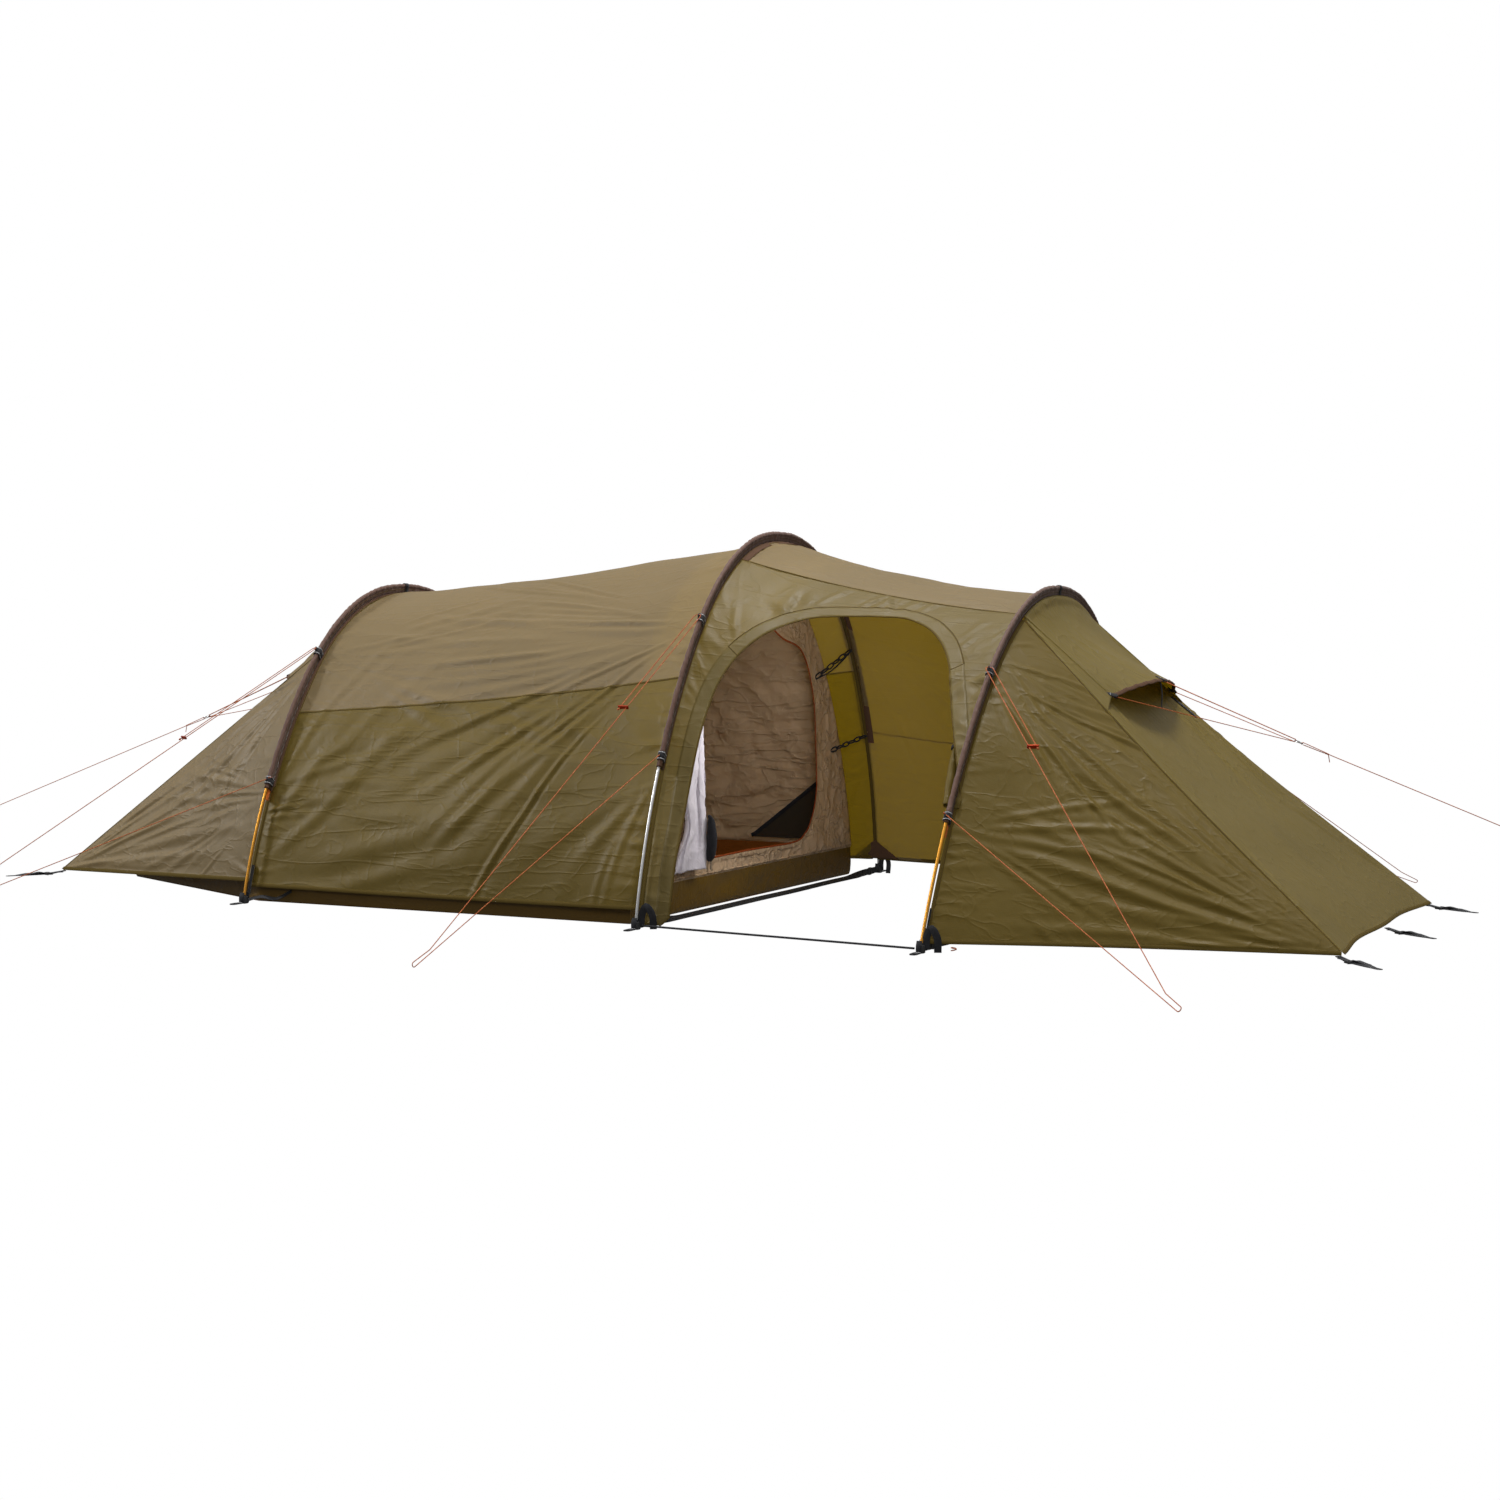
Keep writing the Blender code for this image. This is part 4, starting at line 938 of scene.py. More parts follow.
def end_side(hoop, along, side, low, high, corner, seed, depth):
    """A side panel that fans from a stretch of the hoop to its ground corner, creased from there."""
    t = np.linspace(low, high, 210)
    v = np.linspace(0.0, 0.996, 240)[:, None, None]
    top = hoop.at(on_side(t, side), -FLY_INSET, along)
    rows = lerp(top[None], corner * (1.0, side, 1.0), v)
    normals = facing_out(rows)
    down = v[..., 0]
    ground = corner * (1.0, side, 1.0)
    bands = [hoop.near(height) for height in (0.34, 0.74)]
    low_band, high_band = (hoop.at(on_side(f, side), -FLY_INSET) for f in bands)
    middle = top[98]
    push = fan(rows, normals, ground, middle, 27.0, 1.30, depth, 26, 1.3, seed)
    push = push + fan(rows, normals, ground, middle, 27.0, 0.80, depth * 0.5, 20, 1.0, seed + 1)
    push = push + fan(rows, normals, low_band, ground, 30.0, 0.85, 0.0032, 10, 1.2, seed + 4)
    push = push + fan(rows, normals, high_band, ground, 34.0, 0.85, 0.0050, 17, 1.1, seed + 5)
    push = push + drift(rows, 0.35, seed + 3) * 0.0035 * (1.0 - down)
    push = push + puckers(rows, 24, 0.0018, seed + 6, (True, False))
    if hoop is FRONT:
        shoulder = top[int(0.80 * len(t))]
        aim = lerp(top[-1], ground, 0.55)
        push = push + fan(rows, normals, shoulder, aim, 32.0, 0.60, 0.0042, 12, 1.0, seed + 8)
    return rows, normals, push * clear_of_edges(rows, 0.010)


def end_middle(seam_top, corner, margin, start, seed):
    """The panel between an end's two seams: hollow, creased along them, with a scalloped hem."""
    away = 1.0 if corner[0] > seam_top[0] else -1.0
    v = np.linspace(start, 1.0, 150)[:, None]
    w = np.linspace(-1.0, 1.0, 170)[None, :]
    edge = lerp(seam_top, corner, v[..., None])
    half = np.abs(edge[..., 1]) - margin
    inward = 0.022 * (1.0 - w * w) + 0.012 * v**6 * np.sin(math.pi * w) ** 2
    x = edge[..., 0] - away * inward
    rows = np.stack([x, half * w, edge[..., 2] + 0.002 + 0.0 * w], -1)
    normals = facing_out(rows)
    push = drift(rows, 0.40, seed + 2) * 0.0030
    for side in (-1.0, 1.0):
        ground = corner * (1.0, np.sign(corner[1]) * side, 1.0)
        top = seam_top * (1.0, np.sign(seam_top[1]) * side, 1.0)
        inner = lerp(ground, ground * (1.0, 0.3, 1.0), 0.3)
        inner_top = lerp(top, top * (1.0, 0.2, 1.0), 0.4)
        push = push + fan(rows, normals, top, inner, 11.0, 1.25, 0.0064, 10, 1.2, seed)
        push = push + fan(rows, normals, ground, inner_top, 12.0, 0.9, 0.0050, 8, 1.2, seed + 4)
    return rows, normals, push * clear_of_edges(rows, 0.010)


FRONT_CORNER = np.array((2.14, 0.70, 0.020))
REAR_CORNER = np.array((-2.195, 0.48, 0.020))


def slack(points):
    """The front end's cloths, drawn in between the hoop and the ground as the seams hang a little."""
    v = np.clip((points[..., 0] - FRONT.x) / (FRONT_CORNER[0] - FRONT.x), 0.0, 1.0)
    inward = unit(np.array((FRONT.x + 0.15, 0.0, 0.05)) - points)
    return points + inward * (0.022 * np.sin(math.pi * v))[..., None]


def end_tapes(trim, rows, normals):
    """Tape down the seam of an end's side panel, its hem binding, and tape along the hoop."""
    trim.strap(rows[::2, -1] + normals[::2, -1] * 0.001, normals[::2, -1], SEAM_WIDTH, 0.0008)
    trim.strap(rows[:, 0] + UP * 0.002, normals[:, 0], HEM_WIDTH, HEM_THICKNESS)
    trim.strap(rows[0, ::2] + normals[0, ::2] * 0.0006, normals[0, ::2], HEM_WIDTH, 0.0006)


def make_front_end():
    """Side fans, centre panel and vent of the porch end."""
    seam = FRONT.near(FRONT_SEAM_TOP_HEIGHT)
    low = FRONT.near(FRONT_END_HEM_HEIGHT)
    trim = Shape()
    for side, name, seed in ((-1.0, "near", 101), (1.0, "far", 131)):
        rows, normals, push = end_side(
            FRONT, FLY_EDGE_GAP, side, low, seam - 0.002, FRONT_CORNER, seed, 0.0046
        )
        rows = slack(rows + normals * push[..., None])
        cloth_panel(f"front_{name}_cloth", rows, "fly_olive", "fly_olive", [f"front_{name}_panel"])
        end_tapes(trim, rows, normals)
        patch = rows[-36:, ::8] + normals[-36:, ::8] * 0.0009
        trim.grid(patch, slot=1)
    top = FRONT.at(seam, -FLY_INSET, FLY_EDGE_GAP)
    rows, normals, push = end_middle(top, FRONT_CORNER * (1, -1, 1), 0.002, 0.17, 151)
    rows = slack(rows + normals * push[..., None])
    # Painted light: the centre cloth takes the lighter copy of the olive fly cloth, a painted highlight
    cloth_panel("front_centre_cloth", rows, "fly_lit_front", "fly_olive", ["front_centre_panel"])
    trim.strap(rows[-1] + UP * 0.001, normals[-1], HEM_WIDTH, HEM_THICKNESS)
    trim.make("front_end_seams", "tape", "fly_olive", slot="fly_olive")
    vent = Shape()
    net_rows = rows[1:11:2, 56:115:3] + normals[8, 85] * 0.0018
    vent.grid(net_rows)
    rim = np.concatenate([net_rows[0], net_rows[1:, -1], net_rows[-1, ::-1], net_rows[::-1, 0]])
    vent.strap(rim, normals[8, 85], 0.010, 0.0010, 1)
    strip = rows[16:30, 160] + normals[16:30, 160] * 0.0022
    vent.strap(strip, normals[16:30, 160], 0.016, 0.0016, 1)
    vent.make("front_vent_net", "net", "webbing", slot="webbing", thick=0.0004)


def make_rear_end():
    """Side fans and centre panel of the foot end."""
    seam = REAR.near(REAR_SEAM_TOP_HEIGHT)
    low = REAR.near(REAR_END_HEM_HEIGHT)
    trim = Shape()
    for side, name, seed in ((-1.0, "near", 171), (1.0, "far", 191)):
        rows, normals, push = end_side(
            REAR, -FLY_EDGE_GAP, side, low, seam, REAR_CORNER, seed, 0.0044
        )
        rows = rows + normals * push[..., None]
        nodes = ["rear_end_fly"] if side < 0 else []
        # Painted light: the foot end's side cloths take fly_tan, the olive fly cloth made paler as if lit
        cloth_panel(f"rear_{name}_cloth", rows, "fly_tan", "fly_olive", nodes)
        end_tapes(trim, rows, normals)
    top = REAR.at(seam, -FLY_INSET, -FLY_EDGE_GAP)
    rows, normals, push = end_middle(top, REAR_CORNER * (1, -1, 1), 0.0, 0.03, 211)
    rows = rows + normals * push[..., None]
    # Painted light: the centre cloth takes the same paler, lit copy of the fly cloth
    cloth_panel("rear_centre_cloth", rows, "fly_tan", "fly_olive")
    trim.strap(rows[-1] + UP * 0.001, normals[-1], HEM_WIDTH, HEM_THICKNESS)
    trim.make("rear_end_seams", "tape", slot="fly_olive")


# Per hood: offset along the hoop's axis, height of its seam on the hoop, corner and tip of the brim,
# lift off the hoop, and roundness of the brim
HOODS = {
    "front": (FLY_EDGE_GAP, FRONT_SEAM_TOP_HEIGHT, (1.405, 0.34, 0.672), (1.46, 0.0, 0.712), 0.004, 2.0),
    "rear": (-FLY_EDGE_GAP, REAR_SEAM_TOP_HEIGHT, (-1.34, 0.36, 0.662), (-1.605, 0.0, 0.677), 0.006, 1.2),
}
HOOD_COLUMNS = 130


def make_front_gussets(hood, down):
    """The cloth that closes each side of the front hood, from its edge to the seam of the end."""
    seam_near = FRONT.at(FRONT.near(FRONT_SEAM_TOP_HEIGHT), -FLY_INSET, FLY_EDGE_GAP)
    gusset = Shape()
    for side, column in ((-1.0, 0), (1.0, -1)):
        seam_top = seam_near * (1.0, -side, 1.0)
        seam_line = slack(lerp(seam_top, FRONT_CORNER * (1.0, side, 1.0), 0.285 * down))
        edge = hood[:, column]
        gusset.grid(lerp(edge[:, None], seam_line[:, None], np.linspace(0.0, 1.0, 6)[None, :, None]))
    # Painted light: the gussets take the lighter copy of the olive fly cloth, a painted highlight
    gusset.make("front_hood_gussets", "fly_lit_front", slot="fly_tan", thick=THIN_CLOTH)


def make_front_stay(hood, normals, tip_x):
    """The strap that props the front hood open, and the patch beside it."""
    stay = Shape()
    middle = HOOD_COLUMNS // 2
    foot = np.array((tip_x - 0.004, 0.014, 0.628))
    top = hood[-2, middle] - normals[-2, middle] * 0.003
    path = resample([top, lerp(top, foot, 0.5) + (0.004, 0.0, 0.0), foot], 0.01)
    stay.strap(path, (1.0, 0.1, 0.0), 0.018, WEBBING_THICKNESS)
    patch = hood[-10, 30] - normals[-10, 30] * 0.0030
    spread = hood[-10, 32] - hood[-10, 28]
    stay.block(patch, (spread, normals[-10, 30]), (0.026, 0.020, 0.0020))
    stay.make("front_hood_stay", "webbing", slot="webbing")


def make_hood(name):
    """A vent hood, from the hoop's top down to an arched brim, with its binding and tabs."""
    along, seam_height, corner, tip, lift, roundness = HOODS[name]
    corner, tip = np.array(corner), np.array(tip)
    hoop = HOOPS[name]
    seam = hoop.near(seam_height) + 0.002
    w = np.linspace(-1.0, 1.0, HOOD_COLUMNS)
    v = np.linspace(0.0, 1.0, 70)[:, None, None]
    arch = (1.0 - np.abs(w) ** roundness)[:, None]
    brim = lerp(corner, tip, arch) * (1.0, 0.0, 1.0) + corner[1] * w[:, None] * (0.0, 1.0, 0.0)
    rows = lerp(hoop.at(0.5 + w * (0.5 - seam), -FLY_INSET + lift, along)[None], brim[None], v)
    normals = facing_out(rows)
    down = v[..., 0]
    pull = ridges(np.abs(w)[None] * 5.0 * 2 * math.pi + drift(rows, 0.3, 231) * 1.6)
    push = pull * 0.0026 * ramp(0.15, 0.6, down) * (0.5 + 0.5 * drift(rows, 0.2, 232))
    push = push + drift(rows, 0.25, 233) * 0.0030
    if name == "front":
        push = push - 0.036 * np.sin(math.pi * down**0.80) * (1.0 - 0.7 * w[None] ** 2)
    push = push * ramp(0.0, 0.08, down) * ramp(0.0, 0.06, 1.0 - np.abs(w))[None]
    rows = rows + normals * push[..., None]
    # Painted light: both hoods and their side straps take lighter copies of the olive fly cloth, a painted
    # highlight from above
    key = "fly_lit_front" if name == "front" else "fly_tan"
    cloth_panel(f"{name}_hood_cloth", rows, key, "fly_tan", [f"{name}_vent_hood"])
    trim = Shape()
    trim.strap(rows[-1], normals[-1], 0.013, 0.0026)
    lip = rows[-1] + unit(rows[-1] - rows[-2]) * 0.002 - normals[-1] * 0.002
    trim.strap(lip, normals[-1], 0.003, 0.006)
    for column in (0, -1):
        trim.strap(rows[:, column] + normals[:, column] * 0.001, normals[:, column], 0.006, 0.0008, 1)
    trim.make(f"{name}_hood_binding", "binding", key, slot="fly_tan")
    if name == "front":
        make_front_gussets(rows, v[:, 0])
    ring = np.array(CENTRE_LINES[name][0])
    tabs = Shape()
    for column, wide in ((1, 0.014), (-2, 0.014), (HOOD_COLUMNS // 2, 0.020)):
        point = rows[-1, column]
        reach = unit(ring - point)
        path = point + reach * np.linspace(-0.022, 0.010, 6)[:, None]
        up = normals[-1, column]
        tabs.strap(path + up * 0.0022, up, wide, WEBBING_THICKNESS)
        tabs.strap(path - up * 0.0022, up, wide, WEBBING_THICKNESS)
        eye = circle(0.0042, 14)
        side = unit(np.cross(reach, up))
        loop = path[-1] + reach * eye[:, :1] + up * eye[:, 1:] * 0.9
        tabs.strap(loop, unit(loop - path[-1]), wide * 0.8, 0.0012, closed=True)
        stitch = path[2] + up * 0.0031 + side * np.linspace(-0.35, 0.35, 5)[:, None] * wide
        tabs.strap(stitch, up, STITCH_WIDTH, 0.0006, 1)
    tabs.make(f"{name}_hood_tabs", "webbing", "reflective", slot="webbing")
    if name == "front":
        make_front_stay(rows, normals, tip[0])


def make_fly_roll():
    """The fly door, rolled up and tied along the porch end of its opening."""
    t = np.linspace(0.0, 1.0, 110)
    half = len(FRONT.z) // 2
    fraction = np.interp(0.82 - 0.41 * t, FRONT.z[:half], FRONT.fraction[:half])
    path = FRONT.at(fraction, -FLY_INSET - 0.040, 0.0)
    path[:, 0] += -0.036 - 0.05 * (1.0 - t)
    turns = np.linspace(0.0, 2.6 * 2 * math.pi, 110)
    swell = 1.0 + 0.12 * np.sin(t * 9.0) + 0.16 * np.sin(t * 3.0 + 1.0)
    for tie in (0.22, 0.62):
        swell = swell * (1.0 - 0.30 * np.exp(-(((t - tie) / 0.03) ** 2)))
    radius = (0.006 + 0.0085 * turns / turns[-1])[None, :] * swell[:, None]
    section = np.stack([np.cos(turns)[None] * radius, np.sin(turns)[None] * radius * 0.85], -1)
    tangent = unit(np.gradient(path, axis=0))
    side = unit(np.cross(tangent, (1.0, 0.0, 0.0)))
    up = np.cross(side, tangent)
    rows = path[:, None] + side[:, None] * section[..., :1] + up[:, None] * section[..., 1:]
    rows = rows + surface_normals(rows) * (drift(rows, 0.05, 241) * 0.0016)[..., None]
    key = "fly_olive"
    small_cloth("fly_door_cloth", rows, key, key, "fly_door_roll")
    ties = Shape()
    for tie in (0.22, 0.62):
        at = int(tie * 109)
        ring = circle(0.0125, 28)
        loop = path[at] + side[at] * ring[:, :1] + up[at] * ring[:, 1:] * 0.9
        ties.strap(loop, unit(loop - path[at]), 0.010, WEBBING_THICKNESS, closed=True)
        toggle = path[at] - side[at] * 0.019
        ties.tube([toggle - up[at] * 0.011, toggle, toggle + up[at] * 0.011], [0.003, 0.0036, 0.003], 10, 1)
    ties.make("fly_door_ties", "webbing", "plastic", slot="webbing")


# Inner tent

INNER_FRONT_X = 0.140
INNER_FOOT_X = -1.945
INNER_HALF_WIDTH = 0.855
INNER_FOOT_HALF_WIDTH = 0.42
TUB_HEIGHT = 0.10


def tub_half_width(x):
    """Half the width of the inner tent's floor at this X: straight, then tapering to the foot."""
    taper = np.clip((x - INNER_FOOT_X) / (REAR.x - INNER_FOOT_X), 0.0, 1.0)
    return INNER_FOOT_HALF_WIDTH + (INNER_HALF_WIDTH - INNER_FOOT_HALF_WIDTH) * taper


def inner_arch(x, scale, columns):
    """Cross-section of the inner tent at this X; scale 0 is flat on the tub's edge."""
    blend = float(np.clip((x - REAR.x) / (MIDDLE.x - REAR.x), 0.0, 1.0))
    base = TUB_HEIGHT + 0.003
    f = np.linspace(0.03, 0.97, columns)
    row = lerp(REAR.at(f, -INNER_INSET), MIDDLE.at(f, -INNER_INSET), blend)
    row[:, 2] = base + np.maximum(row[:, 2] - base, 0.0) * scale
    row[:, 1] *= float(tub_half_width(x)) / np.abs(row[:, 1]).max()
    row[:, 0] = x
    return row


def crumple(points, height, seed):
    """Small sharp folds, as in cloth that was packed tight."""
    value = 0.0
    for k, size in enumerate((0.20, 0.11, 0.06)):
        bent = points + unit(np.ones(3)) * drift(points, size * 1.5, seed + 50 + k)[..., None] * size * 0.35
        value = value + (1.0 - 2.0 * np.abs(np.tanh(drift(bent, size, seed + k) * 2.2))) * size
    return value * height


def make_inner_canopy():
    """Roof, side walls and sloping foot end of the inner tent."""
    xs = [INNER_FRONT_X - 0.003, -0.25, -0.55, -0.85]
    scales = [1.0, 1.0, 0.98, 0.92]
    for t in (0.0, 0.3, 0.6, 0.85, 1.0):
        xs.append(REAR.x + (INNER_FOOT_X - REAR.x) * t)
        scales.append(INNER_REAR_SCALE * (1.0 - t))
    want = np.linspace(xs[0], xs[-1], 190)
    scale = np.interp(want, xs[::-1], scales[::-1])
    rows = np.array([inner_arch(x, s, 210) for x, s in zip(want, scale)])
    normals = facing_out(rows)
    low_wall = 1.0 - ramp(0.45, 0.75, rows[..., 2])
    sag = 0.006 * np.sin(math.pi * np.linspace(0, 1, 190))[:, None]
    push = -sag + drift(rows, 0.4, 251) * 0.005
    push = push + crumple(rows, 0.022 + 0.012 * low_wall, 252)
    start = np.array((-0.2, 0.80, 0.78))
    push = push + fan(rows, normals, start, (-0.9, 0.85, 0.15), 36.0, 1.2, 0.0050, 12, 1.3, 253)
    push = push + fan(rows, normals, (0.1, 0.85, 0.12), (-0.9, 0.8, 0.6), 30.0, 1.3, 0.0050, 12, 1.3, 254)
    rows = rows + normals * (push * clear_of_edges(rows, 0.03))[..., None]
    cloth_panel("inner_canopy_cloth", rows, "inner_cream", "inner_cream", ["inner_canopy"])
    trim = Shape()
    for column in (52, 105, 157):
        trim.strap(rows[::2, column] + normals[::2, column] * 0.0008, normals[::2, column], 0.008, 0.0006)
    trim.make("inner_canopy_seams", "inner_cream", slot="inner_cream")


def inner_door_outline(step=0.006):
    """D-shaped opening of the inner door, as (y, z)."""
    points = [(-0.40, 0.145), (-0.1, 0.145), (0.33, 0.145)]
    for a in np.radians(np.linspace(-60.0, 10.0, 5)):
        points.append((0.345 + 0.19 * math.cos(a), 0.335 + 0.19 * math.sin(a)))
    points += [(0.50, 0.62), (0.40, 0.78)]
    for a in np.radians(np.linspace(60.0, 180.0, 8)):
        points.append((0.02 + 0.42 * math.cos(a), 0.50 + 0.38 * math.sin(a)))
    points += [(-0.43, 0.30), (-0.425, 0.20), (-0.41, 0.155), (-0.40, 0.145)]
    return resample([(0.0, y, z) for y, z in points], step)


def ray_reach(outline, centre, angle):
    """Distance from the centre to a closed outline at each angle."""
    away = outline[:, 1:] - centre
    turn = np.arctan2(away[:, 1], away[:, 0])
    order = np.argsort(turn)
    turn, reach = turn[order], np.linalg.norm(away, axis=1)[order]
    turn = np.concatenate([turn - 2 * math.pi, turn, turn + 2 * math.pi])
    return np.interp(angle, turn, np.tile(reach, 3))


def make_inner_front():
    """The inner tent's front wall round its D-shaped door, and the zip."""
    arch = resample(inner_arch(INNER_FRONT_X, 1.0, 81), 0.008)
    y = np.linspace(arch[-1, 1], arch[0, 1], 200)[1:-1]
    foot = np.stack([y * 0.0 + arch[0, 0], y, y * 0.0 + arch[0, 2]], -1)
    outline = np.vstack([arch, foot])
    door = inner_door_outline()
    centre = np.array((0.03, 0.42))
    angle = np.linspace(-math.pi, math.pi, 421)
    low_corner = np.arctan2(arch[0, 2] - centre[1], np.array((-1, 1)) * abs(arch[0, 1]) - centre[0])
    angle = np.sort(np.append(angle, low_corner))
    inner, outer = ray_reach(door, centre, angle), ray_reach(outline, centre, angle)
    t = np.linspace(0.0, 1.0, 26)[:, None]
    radius = lerp(inner[None], outer[None], t)
    x = INNER_FRONT_X + 0.0002 + 0.0 * radius
    rows = np.stack([x, centre[0] + np.cos(angle) * radius, centre[1] + np.sin(angle) * radius], -1)
    lean = ALONG
    push = drift(rows, 0.25, 262) * 0.004 + crumple(rows, 0.012, 263)
    far_slack = ramp(0.35, 0.6, rows[..., 1]) * (1.0 - ramp(0.3, 0.7, rows[..., 2]))
    push = push + ridges(rows[..., 2] / 0.07 * math.pi + rows[..., 1] * 22) * far_slack * 0.0022
    push = push * ramp(0.0, 0.25, t) * ramp(0.0, 0.12, 1.0 - t)
    rows = rows + lean * push[..., None]
    nodes = ["inner_front_wall"]
    cloth_panel("inner_front_cloth", rows, "inner_cream", "inner_cream", nodes)
    zipper = Shape()
    edge = np.stack([rows[0, :, 0] + 0.0012, rows[0, :, 1], rows[0, :, 2]], -1)
    zipper.strap(edge, lean, 0.018, 0.0008)
    inward = unit(np.stack([0.0 * angle, -np.cos(angle), -np.sin(angle)], -1))
    teeth = edge + inward * 0.0085 + lean * 0.0008
    zipper.strap(teeth, lean, 0.0060, 0.0022, 1)
    zipper.make("inner_door_zip_tape", "inner_cream", "zip", slot="inner_cream")


def make_inner_door_gather():
    """The inner door, drawn aside to the near edge of its opening and tied near its foot."""
    t = np.linspace(0.0, 1.0, 110)[:, None]
    u = np.linspace(0.0, 1.0, 160)[None, :]
    z = lerp(0.128, 0.720, t)
    pinch = 1.0 - 0.25 * np.exp(-(((t - 0.22) / 0.10) ** 2))
    width = lerp(0.235, 0.045, t**0.8) * pinch
    right = lerp(-0.400, -0.440, t)
    phase = u * 2.6 * 2 * math.pi + 1.5 * np.sin(t * 3.0 + u * 5.0)
    depth = 0.0085 * (0.7 + 0.3 * np.sin(u * 9.0 + t * 4.0))
    y = right - width * (1.0 - u) + 0.006 * np.sin(phase * 2.0 + t * 3.0)
    x = 0.168 + np.cos(phase) * depth
    rows = np.stack([x, y, z + 0.0 * x], -1)
    push = crumple(rows, 0.012, 271) + drift(rows, 0.06, 272) * 0.0012
    rows = rows + surface_normals(rows) * push[..., None]
    key = "inner_grey"
    small_cloth("inner_door_cloth", rows, key, key, "inner_door_roll")
    tie = Shape()
    tail = [(0.186, -0.428, 0.290), (0.192, -0.421, 0.27), (0.192, -0.417, 0.20), (0.184, -0.415, 0.150)]
    path = resample(tail, 0.01)
    swell = np.interp(np.linspace(0, 1, len(path)), (0.0, 0.15, 0.5, 0.9, 1.0), (0.2, 0.7, 1.0, 0.9, 0.4))
    tie.tube(path, 0.0165 * swell, 16)
    tie.make("inner_door_tie", "webbing", slot="webbing")


def make_tub():
    """The floor with its raised edge: coated cloth, boxed corners, soft folds."""
    straight = np.linspace(INNER_FRONT_X, REAR.x, 130)
    xs = np.append(straight, np.linspace(REAR.x, INNER_FOOT_X, 80)[1:])
    half = tub_half_width(xs)
    near = np.stack([xs, -half, 0.0 * xs], -1)
    foot_y = np.linspace(-half[-1], half[-1], 70)[1:-1]
    foot = np.stack([foot_y * 0.0 + INNER_FOOT_X, foot_y, 0.0 * foot_y], -1)
    front_y = np.linspace(half[0], -half[0], 140)[1:-1]
    front = np.stack([front_y * 0.0 + INNER_FRONT_X, front_y, 0.0 * front_y], -1)
    loop = np.vstack([near, foot, mirror(near)[::-1], front])
    centre = np.array((-0.9, 0.0, 0.0))
    out = unit((loop - centre) * (0.6, 1.0, 0.0))
    levels = np.concatenate([[0.0, 0.004], np.linspace(0.012, TUB_HEIGHT, 12)])
    rows = []
    for k, z in enumerate(levels):
        inset = 0.005 + 0.006 * (1.0 - min(z / 0.012, 1.0)) ** 2
        ring = loop - out * inset + UP * (z + 0.0012)
        ring = ring + out * (0.0040 * math.sin(math.pi * k / 13) * drift(ring, 0.16, 281))[:, None]
        rows.append(ring + out * (0.0016 * drift(ring, 0.06, 282) * math.sin(math.pi * k / 13))[:, None])
    rows = np.array(rows)
    wall = Shape().grid(rows, around=True)
    wall.make("tub_wall", "tub", slot="tub_brown", replaces=["inner_floor_tub"], thick=0.0006)
    lining = Shape().grid(rows - out * 0.0020, around=True)
    lining.make("tub_lining", "floor", slot="tub_brown")
    u = np.linspace(0.0, 1.0, 150)
    w = np.linspace(-1.0, 1.0, 110)
    span = lerp(INNER_FRONT_X - 0.008, INNER_FOOT_X + 0.008, u)
    across = (tub_half_width(span) - 0.008)[:, None] * w[None]
    floor = np.stack(np.broadcast_arrays(span[:, None], across, 0.0016), -1)
    lift = np.maximum(crumple(floor, 0.030, 283) + drift(floor, 0.3, 284) * 0.0015, 0.0)
    floor = floor + UP * (lift * clear_of_edges(floor, 0.05))[..., None]
    cloth_panel("tub_floor", floor, "floor", "tub_brown")
    trim = Shape()
    top = rows[-1]
    trim.strap(top, out, 0.010, 0.0018, closed=True)
    trim.make("tub_edge_tape", "inner_cream", slot="inner_cream")


